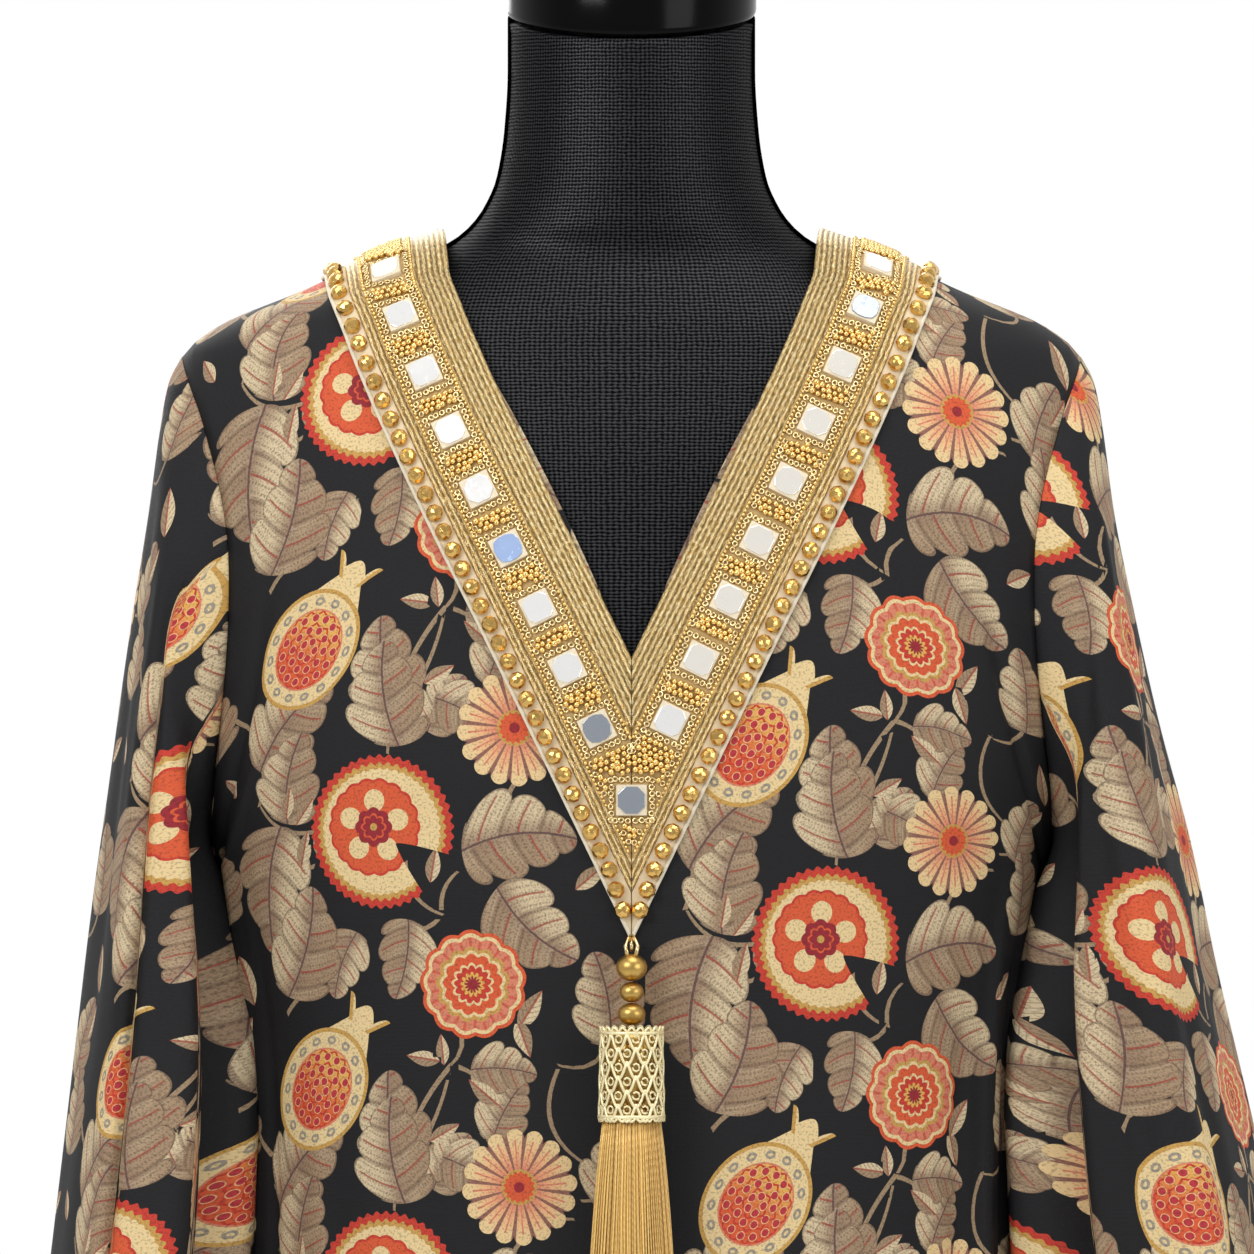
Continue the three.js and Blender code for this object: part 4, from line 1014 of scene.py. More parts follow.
def rosette(finish, radius, angle):
    """Rings of scallops one inside another."""
    scallop = (angle * 6.5).math("COSINE").math("ABSOLUTE")
    ripple = radius - scallop * 0.07
    tone = finish.mix(ripple.below(0.86), PRINT["orange"], PRINT["cream"])
    for edge, color in ((0.79, "salmon"), (0.62, "ochre"), (0.55, "cream"), (0.49, "orange"),
                        (0.33, "cream"), (0.28, "red"), (0.16, "yellow"), (0.09, "crimson")):
        tone = finish.mix(ripple.below(edge), tone, PRINT[color])
    veins = (angle * 26.0).math("COSINE").above(0.6) * ripple.within(0.71, 0.075)
    tone = finish.mix(veins * 0.6, tone, PRINT["red"])
    return tone, ripple.below(0.93)


def daisy(finish, radius, angle):
    """Outlined petals round a warm centre."""
    fold = (angle * 8.0).math("COSINE").math("ABSOLUTE")
    petal = radius.below(0.80 + fold.math("POWER", 0.5) * 0.18)
    tone = finish.mix(finish.step(radius, 0.22, 0.62), PRINT["salmon"], PRINT["peach"])
    tone = finish.mix(finish.step(radius + fold * 0.1, 0.62, 0.92) * 0.85, tone, PRINT["cream"])
    tone = finish.mix(fold.below(0.36), tone, PRINT["mauve"])
    tone = finish.mix(fold.above(0.985) * radius.below(0.8), tone, PRINT["salmon"])
    tone = finish.mix(radius.below(0.30), tone, PRINT["ochre"])
    tone = finish.mix((radius + (angle * 16.0).math("COSINE") * 0.02).below(0.25), tone, PRINT["orange"])
    tone = finish.mix(radius.below(0.09), tone, PRINT["crimson"])
    return tone, petal


def blossom_print(finish, ground):
    """The four large motifs, each at its own places."""
    (x, y, kind), _ = finish.attribute("blossom")
    radius, angle = polar(x, y)
    shapes = [
        medallion(finish, x, y, radius, angle), pomegranate(finish, x, y),
        rosette(finish, radius, angle), daisy(finish, radius, angle),
    ]
    tone = ground
    for number, (color, mask) in enumerate(shapes):
        tone = finish.mix(mask * kind.within(float(number), 0.3), tone, color)
    return tone


def weave_bump(finish, distance=0.00012):
    """The crepe's fine grain, as height, from the flat coordinates in metres."""
    flat = finish.uv()
    warp = finish.wave(flat, 620.0, "X", 1.2)
    weft = finish.wave(flat, 540.0, "Y", 1.2)
    grain = finish.noise(flat, 1500.0, 2.0)
    height = warp * 0.4 + weft * 0.4 + grain * 0.8
    finish.bump(height, distance)
    return grain


def printed_cloth():
    """Black crepe with the print, worn a little uneven."""
    finish = Finish("printed crepe", GROUND, 0.78)
    flat = finish.uv()
    grain = weave_bump(finish)
    tone = stem_print(finish, GROUND)
    tone = leaf_print(finish, "leaf", tone)
    tone = leaf_print(finish, "leaf_over", tone)
    tone = sprig_print(finish, tone)
    tone = blossom_print(finish, tone)
    speck = finish.noise(flat, 900.0, 1.0)
    shade = finish.step(speck, 0.50, 0.66) * 0.34 + finish.noise(flat, 14.0, 2.0) * 0.08
    tone = finish.mix(shade, tone, (0.02, 0.016, 0.014))
    finish.set("Base Color", tone)
    finish.set("Specular IOR Level", 0.16)
    finish.set("Roughness", grain * 0.2 + 0.50)
    return finish.material


def cloth_reverse():
    """The crepe's back, where the print shows through faintly."""
    finish = Finish("crepe reverse", GROUND, 0.9)
    finish.set("Specular IOR Level", 0.1)
    weave_bump(finish)
    flat = finish.uv()
    blotch = finish.noise(flat, 22.0, 3.0)
    tone = finish.mix(finish.step(blotch, 0.55, 0.7) * 0.35, GROUND, PRINT["leaf_dark"])
    finish.set("Base Color", tone)
    return finish.material


def gold(name, color, roughness, grain=900.0, depth=0.00008, metal=1.0):
    """Plain metallic gold with a fine uneven surface."""
    finish = Finish(name, color, roughness, metal)
    place = finish.place()
    rough = finish.noise(place, grain, 3.0)
    finish.bump(rough, depth)
    finish.set("Roughness", rough * 0.22 + (roughness - 0.11))
    tone = finish.noise(place, 160.0, 2.0)
    finish.set("Base Color", finish.mix(tone, tuple(0.72 * c for c in color), color))
    return finish.material


def braid(name, color, pale, slant):
    """Ribbed metal braid: threads run aslant across each rib, dark between the ribs as painted shade, with
    pale streaks that are partly pale thread and partly painted highlight on the crests.
    """
    finish = Finish(name, color, 0.34, 0.6)
    flat = finish.uv("band")
    parts = finish.node("ShaderNodeSeparateXYZ")
    finish.tree.links.new(flat, parts.inputs[0])
    run, out = Wire(finish.tree, parts.outputs[0]), Wire(finish.tree, parts.outputs[1])
    patch = finish.noise(flat, 300.0, 2.0)
    out = out + (patch - 0.5) * 0.0007
    pitch = RIB_PITCH * MM
    rib = out / pitch + 0.5
    turn = (rib.math("FLOOR").math("MODULO", 2.0) * 2.0 - 1.0) * slant
    threads = ((run + out * turn) * 5200.0).math("SINE") * 0.5 + 0.5
    ribs = (out * (2 * math.pi / pitch)).math("COSINE") * 0.5 + 0.5
    streak = finish.noise(finish.vector(run * 0.22, out), 1700.0, 3.0, 0.7)
    height = threads * 0.5 + ribs * 1.1 + streak * 1.5
    finish.bump(height, 0.00048)
    # Painted shade: the colour darkens in the grooves between the ribs and between the threads; the streaks
    # and patches vary it at random.
    share = ribs * 0.62 + threads * 0.18 + streak * 1.35 + patch * 0.4 - 0.82
    share = share.math("MULTIPLY", 1.25, clamp=True)
    tone = finish.mix(share, tuple(0.2 * c for c in color), color)
    # Pale streaks: partly pale metallic thread, partly a painted highlight that leans to the rib crests.
    tone = finish.mix(finish.step(streak + threads * 0.07 + ribs * 0.12, 0.60, 0.69) * 0.92, tone, pale)
    finish.set("Base Color", tone)
    finish.set("Roughness", streak * 0.25 + 0.20)
    return finish.material


def woven_tape(name, color, metallic, scale):
    """A close woven tape."""
    finish = Finish(name, color, 0.6, metallic)
    flat = finish.uv("band")
    weave = finish.wave(flat, scale, "X", 0.8) * finish.wave(flat, scale, "Y", 0.8)
    grain = finish.noise(flat, 1500.0, 3.0)
    finish.bump(weave * 0.6 + grain * 0.6, 0.0002)
    tone = finish.mix(grain, tuple(0.66 * c for c in color), color)
    finish.set("Base Color", tone)
    return finish.material


def mirror_glass(name, color, roughness):
    """Silvered glass with faint specks and scratches in its surface."""
    finish = Finish(name, color, roughness, 0.6)
    place = finish.place()
    specks = finish.step(finish.noise(place, 420.0, 4.0, 0.6), 0.56, 0.72)
    haze = finish.noise(place, 90.0, 3.0)
    finish.set("Base Color", finish.mix(specks * 0.35, color, tuple(0.62 * c for c in color)))
    finish.set("Roughness", specks * 0.16 + haze * 0.1 + roughness)
    finish.bump(haze, 0.00006)
    return finish.material


def form_cloth():
    """Fine-ribbed black cloth stretched over the form, with painted glints on its ribs and painted shade
    where it turns away from the view.
    """
    finish = Finish("form cloth", (0.0052, 0.0054, 0.0062), 0.7)
    flat = finish.uv()
    ribs = finish.wave(flat, 195.0, "Y", 2.2)
    warp = finish.wave(flat, 190.0, "X", 2.0)
    grain = finish.noise(flat, 900.0, 3.0, 0.6)
    height = ribs * 0.5 + warp * 0.3 + grain * 0.6
    finish.bump(height, 0.00018)
    facing = Wire(finish.tree, finish.node("ShaderNodeLayerWeight").outputs["Facing"])
    # Painted shade: this share falls off where the surface turns away from the view.
    square = (1.0 - facing * 1.3).math("MAXIMUM", 0.0)
    glint = finish.step(ribs * 0.35 + warp * 0.25 + grain * 0.6, 0.45, 0.80)
    finish.set("Specular IOR Level", (glint * 0.38 + 0.04) * square)
    # Painted light: the base colour is lighter on the rib glints and darker towards the edges.
    finish.set("Base Color", finish.mix(glint * square, (0.0003, 0.0003, 0.0004), (0.0072, 0.0078, 0.0105)))
    finish.set("Roughness", grain * 0.16 + 0.35)
    return finish.material


def gloss_black(name, roughness, color=(0.0012, 0.0012, 0.0014)):
    """Smooth black with a faint haze."""
    finish = Finish(name, color, roughness)
    place = finish.place()
    haze = finish.noise(place, 55.0, 3.0)
    fine = finish.noise(place, 900.0, 2.0)
    finish.set("Roughness", haze * 0.08 + (roughness - 0.03))
    finish.set("Specular IOR Level", 0.08)
    finish.bump(fine, 0.00002)
    finish.set("Base Color", finish.mix(haze, color, tuple(1.6 * c for c in color)))
    return finish.material


def tassel_silk():
    """Lustrous twisted thread, slightly different along and across."""
    finish = Finish("tassel silk", (0.52, 0.29, 0.075), 0.38)
    flat = finish.uv("thread")
    tint, _ = finish.attribute("tint")
    twist = finish.wave(flat, 190.0, "DIAGONAL", 0.5)
    slub = finish.noise(flat, 60.0, 2.0)
    # Each thread's tint varies its tone at random; the solid middle's low tint is painted shade.
    shade = (tint[0] * 0.75 + slub * 0.35).math("MULTIPLY", 1.0, clamp=True)
    tone = finish.mix(shade, (0.44, 0.225, 0.042), (0.94, 0.62, 0.185))
    # Painted highlight: the colour is lighter along the twist's ridges, where the bump rises.
    finish.set("Base Color", finish.mix(twist * 0.3, tone, (0.95, 0.68, 0.28)))
    finish.set("Sheen Weight", 0.35)
    finish.set("Sheen Tint", (1.0, 0.82, 0.5, 1.0))
    finish.set("Metallic", 0.25)
    finish.bump(twist, 0.00008)
    return finish.material


# ---------------------------------------------------------------- cloth


def cloth_wall(name, outer, inner, flat, around, looks):
    """A closed sheet of cloth between two grids, with its flat coordinates at every corner.

    A sleeve's flat coordinates have one column more than its points, at the seam."""
    rows, columns = outer.shape[:2]
    count = rows * columns
    across = columns if around else columns - 1
    faces = grid_faces(rows, columns, around)
    r, c = np.meshgrid(np.arange(rows - 1), np.arange(across), indexing="ij")
    r, c = r.ravel(), c.ravel()
    corners = np.stack([flat[r, c], flat[r, c + 1], flat[r + 1, c + 1], flat[r + 1, c]], axis=1)
    k = np.arange(across)
    after = (k + 1) % columns
    top = count - columns
    rims = [
        (np.stack([after, k, count + k, count + after], axis=1), flat[0, k + 1], flat[0, k]),
        (np.stack([top + k, top + after, count + top + after, count + top + k], axis=1),
         flat[-1, k], flat[-1, k + 1]),
    ]
    if not around:
        low = np.arange(rows - 1) * columns
        high = low + columns
        last = columns - 1
        q = np.arange(rows - 1)
        rims.append((np.stack([low, high, count + high, count + low], axis=1),
                     flat[q, 0], flat[q + 1, 0]))
        rims.append((np.stack([high, low, count + low, count + high], axis=1) + last,
                     flat[q + 1, -1], flat[q, -1]))
    all_faces = np.concatenate([faces, faces[:, ::-1] + count] + [rim[0] for rim in rims])
    all_flat = np.concatenate(
        [corners, corners[:, ::-1]] + [np.stack([a, b, b, a], axis=1) for _, a, b in rims])
    points = np.concatenate([outer.reshape(-1, 3), inner.reshape(-1, 3)])
    first, second, third, fourth = (points[all_faces[:, n]] for n in range(4))
    volume = (first * (np.cross(second, third))).sum() + (first * np.cross(third, fourth)).sum()
    if volume < 0:
        all_faces, all_flat = all_faces[:, ::-1], all_flat[:, ::-1]
    looks_at = np.concatenate([np.zeros(len(faces)), np.ones(len(faces)),
                               np.zeros(len(all_faces) - 2 * len(faces))])
    piece = make_piece(name, points, all_faces, looks, looks_at)
    lay_flat(piece, "cloth", all_flat * MM)
    return piece, all_flat


def print_on(piece, corners, start):
    """Gives a cloth piece the places of the printed motifs, from its flat coordinates."""
    corners = corners - np.array(start)
    layers = [(name, motif_places(corners, table)) for name, table in (
        ("blossom", BLOSSOMS), ("leaf", LEAVES), ("leaf_over", LEAVES_OVER), ("sprig", SPRIGS))]
    layers.append(("stem", stem_places(corners)))
    for name, values in layers:
        layer = piece.data.attributes.new(name, "FLOAT_VECTOR", "CORNER")
        layer.data.foreach_set("vector", values.astype(np.float32).ravel())


PANELS = {}


def panel(side):
    """A panel's grid, made the first time it is asked for."""
    if side not in PANELS:
        PANELS[side] = panel_grid(side, *PANEL_COLUMNS, *PANEL_ROWS)
    return PANELS[side]


def sleeve_fold(sleeve, degrees, share):
    """Height of a sleeve's folds, growing from where each starts."""
    height = np.zeros(np.broadcast(degrees, share).shape)
    for name, at, width, tall, start in SLEEVE_FOLDS:
        if name == sleeve:
            away = (degrees - at + 540) % 360 - 180
            height += tall * np.clip((share - start) / (1 - start), 0, 1) * np.exp(-((away / width) ** 2))
    return height


def armhole_edge(sleeve):
    """The panels' own armhole points, a seam gap out along the cloth, and their normals."""
    column, beside = (0, 1) if sleeve == "left" else (-1, -2)
    low, high = PANEL_ROWS
    points, normals = [], []
    for side, order in (("front", range(high, -1, -1)), ("back", range(1, high))):
        outer, directions = panel(side)[:2]
        for r in order:
            point, normal = outer[low + r, column], directions[low + r, column]
            away = point - outer[low + r, beside]
            away = away - normal * (away @ normal)
            away[2] = 0
            points.append(point + away / np.linalg.norm(away) * (SEAM_GAP + 0.1))
            normals.append(normal)
    return np.array(points), np.array(normals)


def sleeve_grid(sleeve):
    """Outer points of a sleeve from the armhole down, inner offset directions, flat places."""
    sign = -1.0 if sleeve == "left" else 1.0
    edge, edge_normals = armhole_edge(sleeve)
    count = len(edge)
    degrees = (360.0 * np.arange(count) / count)[None, :]
    even = 0.35 * np.sin(np.radians(4 * degrees)) * 57.3 / 4
    share = (np.arange(SLEEVE_STEPS + 1) / SLEEVE_STEPS)[:, None]
    place = share * (len(SLEEVE_RINGS) - 1)
    rows = np.arange(len(SLEEVE_RINGS))
    columns = [Curve(rows, SLEEVE_RINGS[:, k])(place) for k in range(6)]
    left, right, outer_z, inner_x, inner_z, reach = columns
    outer_x = left if sleeve == "left" else right
    degrees = degrees - even * smoothstep(share * 2.5)
    turn = np.radians(degrees)
    fold = sleeve_fold(sleeve, degrees, share)
    power = 1 - 0.36 * np.minimum(share * 2.5, 1)
    across = signed_power(np.cos(turn), power)
    x = (outer_x + inner_x) / 2 + (outer_x - inner_x) / 2 * across * (1 + fold / reach)
    y = -(reach + fold * np.abs(np.sin(turn))) * signed_power(np.sin(turn), power)
    z = (outer_z + inner_z) / 2 + (outer_z - inner_z) / 2 * across
    grid = np.stack([sign * x, y, z], axis=-1)
    fade = 1 - smoothstep(share / 0.25)
    grid = grid + (edge - grid[0])[None] * fade[..., None]
    half = count // 2
    grid = np.roll(grid, -half, axis=1)
    normals = grid_normals(grid, True) * sign
    normals[0] = np.roll(edge_normals, -half, axis=0)
    blend = smoothstep(share[:4] / share[4])[..., None]
    normals[:4] = normals[0][None] * (1 - blend) + normals[:4] * blend
    normals /= np.linalg.norm(normals, axis=-1, keepdims=True)
    degrees = np.roll((degrees + 180) % 360 - 180, -half, axis=1)
    degrees[:, 0] = -180
    relief = np.zeros(grid.shape[:2])
    for name, start_at, end_at, top, foot, width, tall in SLEEVE_CREASES:
        if name != sleeve:
            continue
        run = (share - top) / (foot - top)
        middle = start_at + (end_at - start_at) * run
        window = smoothstep(run / 0.3) * smoothstep((1 - run) / 0.35)
        away = (degrees - middle + 540) % 360 - 180
        relief += tall * window * np.exp(-((away / width) ** 2))
    deep = np.abs(grid[..., 1])
    deepest = np.repeat([deep[:, :half].max(axis=1), deep[:, half:].max(axis=1)], half, axis=0).T
    edge_x = Curve(-SLEEVE_RINGS[:, 2], SLEEVE_RINGS[:, 0 if sleeve == "left" else 1])(-grid[..., 2])
    around = np.where(np.abs(degrees) > 90, 2 * deepest - deep, deep) + edge_x - np.abs(grid[..., 0])
    for start, width in HIDDEN_PLEATS[sleeve]:
        around = around + width * smoothstep((degrees - start) / 1.3)
    u = np.where(degrees < 0, sign, -sign) * around
    u = np.concatenate([u, -u[:, :1]], axis=1)
    v = np.concatenate([grid[..., 2], grid[:, :1, 2]], axis=1)
    grid = grid + normals * relief[..., None]
    return grid, normals, np.stack([u, v], axis=-1)


# ---------------------------------------------------------------- band and beads


def tape_lift(out):
    """Height of the band's face over its ground: ribbed braids, bead ground, tape and piping."""
    rib = 0.42 * np.abs(np.cos(np.pi * out / RIB_PITCH))
    inner = 1.15 + rib + 0.35 * smoothstep((-out - 12) / 6)
    roll = 0.75 + np.sqrt(np.maximum(1 - ((out - 26.6) / 0.95) ** 2, 0))
    strips = [out < -26.9, out < -11.5, out < 11.5, out < 17.6, out <= 25.7]
    return np.select(strips, [0.9, inner, 1.0, 1.25 + rib, 0.95], roll)


TAPE_OUTS = np.concatenate([
    np.arange(-27.5, -11.49, 0.4), np.arange(-11.0, 11.1, 1.1), np.arange(11.5, 17.61, 0.4),
    np.arange(18.0, 25.3, 0.9), np.arange(25.7, 27.51, 0.2),
])


def tape_rows(side, sign, count):
    """A band's outer and inner rows from the middle to the shoulder, and their flat places."""
    outs = TAPE_OUTS
    start = middle_of(side, outs, SEAM_GAP / 2 if side == "front" else 0.0)
    end = seam_of(side, outs) - SEAM_GAP / 2
    share = (np.arange(count + 1) / count)[:, None]
    lengths = start + (end - start) * share
    outs = np.broadcast_to(outs, lengths.shape)
    lift = tape_lift(outs)
    outer = over_band(side, sign, lengths, outs, BAND_GAP + lift)
    inner = over_band(side, sign, lengths, outs, np.full(lengths.shape, BAND_GAP))
    return outer, inner, np.stack([lengths, outs], axis=-1)


def make_tape(name, outer, inner, flat, looks):
    """A closed ribbed tape with one finish to each of its strips."""
    rows, columns = outer.shape[:2]
    count = rows * columns
    faces = grid_faces(rows, columns)
    k = np.arange(columns - 1)
    top = count - columns
    low = np.arange(rows - 1) * columns
    high = low + columns
    last = columns - 1
    rims = np.concatenate([
        np.stack([k + 1, k, count + k, count + k + 1], axis=1),
        np.stack([top + k, top + k + 1, count + top + k + 1, count + top + k], axis=1),
        np.stack([low, high, count + high, count + low], axis=1),
        np.stack([high, low, count + low, count + high], axis=1) + last,
    ])
    all_faces = np.concatenate([faces, faces[:, ::-1] + count, rims])
    points = np.concatenate([outer.reshape(-1, 3), inner.reshape(-1, 3)])
    a, b, c, d = (points[all_faces[:, n]] for n in range(4))
    if (a * np.cross(b, c)).sum() + (a * np.cross(c, d)).sum() < 0:
        all_faces = all_faces[:, ::-1]
    places = np.concatenate([flat.reshape(-1, 2)] * 2)
    outs = places[all_faces][:, :, 1].mean(axis=1)
    looks_at = np.select([outs < -11.25, outs < 11.25, outs < 17.8, outs < 25.6], [0, 1, 0, 2], 3)
    piece = make_piece(name, points, all_faces, looks, looks_at)
    lay_flat(piece, "band", places[corner_points(piece)] * MM)
    return piece


def band_ends(side, out):
    """Lengths along the band of its cut at the middle and at the shoulder seam."""
    start = float(middle_of(side, out, SEAM_GAP / 2 if side == "front" else 0.0))
    return start, float(seam_of(side, out)) - SEAM_GAP / 2


def bead_out(side, lengths):
    """How far across the band the large beads sit: close to its edge beside the point."""
    tip = float(middle_of(side, BEAD_OUT)) if side == "front" else -1000.0
    return BEAD_OUT + TIP_BEAD_SHIFT * smoothstep(1 - (lengths - tip) / 26)


def big_beads(side):
    """Lengths along the band of the large beads on its edge."""
    start, end = band_ends(side, BEAD_OUT)
    if side == "front":
        start = float(middle_of(side, BEAD_OUT + TIP_BEAD_SHIFT, 3.9)) - BEAD_PITCH / 2
    count = round((end - start) / BEAD_PITCH)
    return start + (end - start) * (np.arange(count) + 0.5) / count


def mirror_lengths(side, sign):
    """Lengths along the band of one side's mirrors."""
    if side == "back":
        return float(middle_of("back", 0.0)) + MIRROR_PITCH * np.arange(0, MIRRORS_BACK_SIDE + 1)
    name = "left" if sign < 0 else "right"
    return MIRROR_START[name] + MIRROR_PITCH * np.arange(MIRRORS_A_SIDE)


def bead_field(side, sign, rng):
    """Places of the small round beads between the mirrors, and of the ring beads round them.

    Each is a length along the band and a distance across it."""
    mirrors = mirror_lengths(side, sign)
    rings, grid = [], []
    for length in mirrors:
        frame = []
        for k in np.linspace(-RING_FRAME, RING_FRAME, 7)[:-1]:
            frame += [(k, RING_FRAME), (-k, -RING_FRAME), (RING_FRAME, -k), (-RING_FRAME, k)]
        rings += [(length + a + rng.uniform(-0.35, 0.35), b + rng.uniform(-0.35, 0.35)) for a, b in frame]
    start, end = band_ends(side, 0.0)
    for row, length in enumerate(np.arange(start - 26, end, FIELD_PITCH * 0.87)):
        low = -14.0 if length < 34 and side == "front" else -10.2
        for out in np.arange(low, 10.5, FIELD_PITCH) + (0 if row % 2 else FIELD_PITCH / 2):
            if out <= 10.6:
                grid.append((length + rng.uniform(-0.4, 0.4), out + rng.uniform(-0.35, 0.35)))
    for out in (-EDGE_BEAD_OUT, EDGE_BEAD_OUT):
        grid += [(length, out) for length in np.arange(start - 20, end, EDGE_BEAD_PITCH)]
    grid = np.array(grid)
    away = np.maximum(np.abs(mirrors - grid[:, :1]).min(axis=1), np.abs(grid[:, 1]))
    return grid[away >= MIRROR_CLEAR], np.array(rings)


def kept_on(side, places):
    """Those places that lie on the band's own half and short of the shoulder seam."""
    lengths, outs = places[:, 0], places[:, 1]
    starts = middle_of(side, outs, 0.5)
    ends = seam_of(side, outs) - 1.2
    return places[(lengths > starts) & (lengths < ends)]


def clear_of_point(places):
    """Those places on the front that stay off the mirror at the point and its setting."""
    x, up = on_band("front", places[:, 0], places[:, 1])
    points = on_body(x, up, "front")
    away = np.maximum(np.abs(points[:, 0]), np.abs(points[:, 2] - BAND_LINE["front"][0][1]))
    return places[away > POINT_CLEAR]


def turned_at_random(turns, rng, tilt):
    """Directions turned about their own axes by up to a tilt, in radians."""
    count = len(turns)
    spins = rng.uniform(0, 2 * math.pi, count)
    leans = rng.uniform(-tilt, tilt, count)
    made = []
    for turn, spin, lean in zip(turns, spins, leans):
        c, s = math.cos(spin), math.sin(spin)
        d, t = math.cos(lean), math.sin(lean)
        about = np.array([[c, -s, 0], [s, c, 0], [0, 0, 1]])
        over = np.array([[1, 0, 0], [0, d, -t], [0, t, d]])
        made.append(turn @ over @ about)
    return np.array(made)


def scattered(shape, side, sign, places, lift, scales, rng, tilt=0.25):
    """Points and faces of one small shape at many places over a band."""
    here, turns = band_frames(side, sign, places[:, 0], places[:, 1], np.full(len(places), lift))
    return repeat(shape, here, turned_at_random(turns, rng, tilt), scales)


def plate(half, cut, low, high, bevel):
    """A square plate with cut corners and soft edges, as points and faces."""
    bpy.ops.object.select_all(action="DESELECT")
    bpy.ops.mesh.primitive_cube_add(size=1.0)
    piece = bpy.context.object
    piece.scale = (2 * half, 2 * half, high - low)
    piece.location = (0, 0, (low + high) / 2)
    bpy.ops.object.transform_apply(location=True, rotation=False, scale=True)
    corners = piece.modifiers.new("corners", "BEVEL")
    corners.width = cut
    corners.segments = 2 if cut > 3.4 else 1
    corners.limit_method = "WEIGHT"
    weights = piece.data.attributes.new("bevel_weight_edge", "FLOAT", "EDGE")
    for edge in piece.data.edges:
        a, b = (piece.data.vertices[v].co for v in edge.vertices)
        weights.data[edge.index].value = 1.0 if abs(a.z - b.z) > 0.01 else 0.0
    bpy.ops.object.modifier_apply(modifier=corners.name)
    rim = piece.modifiers.new("rim", "BEVEL")
    rim.width = bevel
    rim.segments = 2
    rim.angle_limit = math.radians(60)
    bpy.ops.object.modifier_apply(modifier=rim.name)
    return taken(piece)


def turned_shape(profile, sides, axis):
    """A closed turned solid from radii and heights, the highest first, as points and faces."""
    profile = np.array(profile, dtype=float)
    turn = 2 * np.pi * np.arange(sides) / sides
    ring = np.stack([np.cos(turn), np.sin(turn)], axis=-1)
    points = np.concatenate([
        np.concatenate([ring * radius + np.array(axis), np.full((sides, 1), z)], axis=1)
        for radius, z in profile
    ])
    faces = grid_faces(len(profile), sides, True)[:, ::-1].tolist()
    faces.append(list(range(sides)))
    faces.append([(len(profile) - 1) * sides + k for k in reversed(range(sides))])
    return points, faces


LOOKS = {}


def look(name):
    """A finish by name, made the first time it is asked for."""
    if name not in LOOKS:
        LOOKS[name] = FINISHES[name]()
    return LOOKS[name]


FINISHES = {
    "printed cloth": printed_cloth,
    "cloth reverse": cloth_reverse,
    # The braid's pale colour is partly pale thread and partly painted highlight; its darkened colour is
    # painted shade.
    "braid": lambda: braid("gold braid", (0.82, 0.53, 0.17), (1.0, 0.86, 0.52), 0.9),
    "ground": lambda: woven_tape("bead ground", (0.62, 0.42, 0.17), 0.35, 400.0),
    "tape": lambda: woven_tape("cream tape", (0.84, 0.68, 0.44), 0.1, 420.0),
    "piping": lambda: woven_tape("piping", (0.92, 0.83, 0.64), 0.1, 700.0),
    "large bead": lambda: gold("large gold bead", (0.80, 0.50, 0.15), 0.20),
    "small bead": lambda: gold("small gold bead", (0.95, 0.66, 0.25), 0.25),
    "ring bead": lambda: gold("gold ring bead", (0.95, 0.74, 0.38), 0.24),
    "satin bead": lambda: gold("satin gold bead", (0.62, 0.40, 0.115), 0.36, 500.0, 0.00003),
    "cap": lambda: gold("pale gold openwork", (1.0, 0.88, 0.52), 0.34, metal=0.4),
    "silver glass": lambda: mirror_glass("silver glass", (0.97, 0.96, 0.93), 0.08),
    # Warm, blue and grey glass: mirror colours that are painted reflections.
    "warm glass": lambda: mirror_glass("warm silver glass", (0.96, 0.91, 0.82), 0.11),
    "blue glass": lambda: mirror_glass("blue silver glass", (0.42, 0.56, 0.86), 0.10),
    "grey glass": lambda: mirror_glass("grey silver glass", (0.33, 0.36, 0.40), 0.14),
    "setting": lambda: woven_tape("mirror setting", (0.88, 0.76, 0.55), 0.1, 500.0),
    "silk": tassel_silk,
    "form cloth": form_cloth,
    "form gloss": lambda: gloss_black("form gloss", 0.16),
    "stand metal": lambda: gloss_black("stand metal", 0.38, (0.006, 0.006, 0.0065)),
}


# ---------------------------------------------------------------- operators


class KaftanSizes(bpy.types.PropertyGroup):
    shoulder_height: bpy.props.FloatProperty(
        name="Shoulder height", description="Height of the shoulder's high point over the floor",
        default=1.450, min=1.2, max=1.7, unit="LENGTH")
    cloth_thickness: bpy.props.FloatProperty(
        name="Cloth thickness", description="Thickness of the printed cloth",
        default=0.0015, min=0.001, max=0.003, unit="LENGTH")
    large_bead: bpy.props.FloatProperty(
        name="Large bead", description="Diameter of the beads along the band's outer edge",
        default=0.0081, min=0.004, max=0.009, unit="LENGTH")
    small_bead: bpy.props.FloatProperty(
        name="Small bead", description="Diameter of the beads between the mirrors",
        default=0.0029, min=0.001, max=0.004, unit="LENGTH")
    mirror_size: bpy.props.FloatProperty(
        name="Mirror", description="Width of each mirror plate",
        default=0.0121, min=0.008, max=0.0136, unit="LENGTH")
    threads: bpy.props.IntProperty(
        name="Tassel threads", description="Number of threads that hang from the tassel's cap",
        default=620, min=100, max=900)
    background: bpy.props.FloatVectorProperty(
        name="Background", description="Colour of the pale surroundings",
        default=(1.0, 1.0, 1.0), subtype="COLOR", min=0.0, max=1.0)


def sizes():
    """The settings in the sidebar."""
    return bpy.context.scene.kaftan_sizes


def belongs(piece, slot, *nodes):
    """Ties a piece to the frame and hides the solids it shows; the colour slot is not used."""
    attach(piece, "root")
    if nodes:
        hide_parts(*nodes)
    return piece


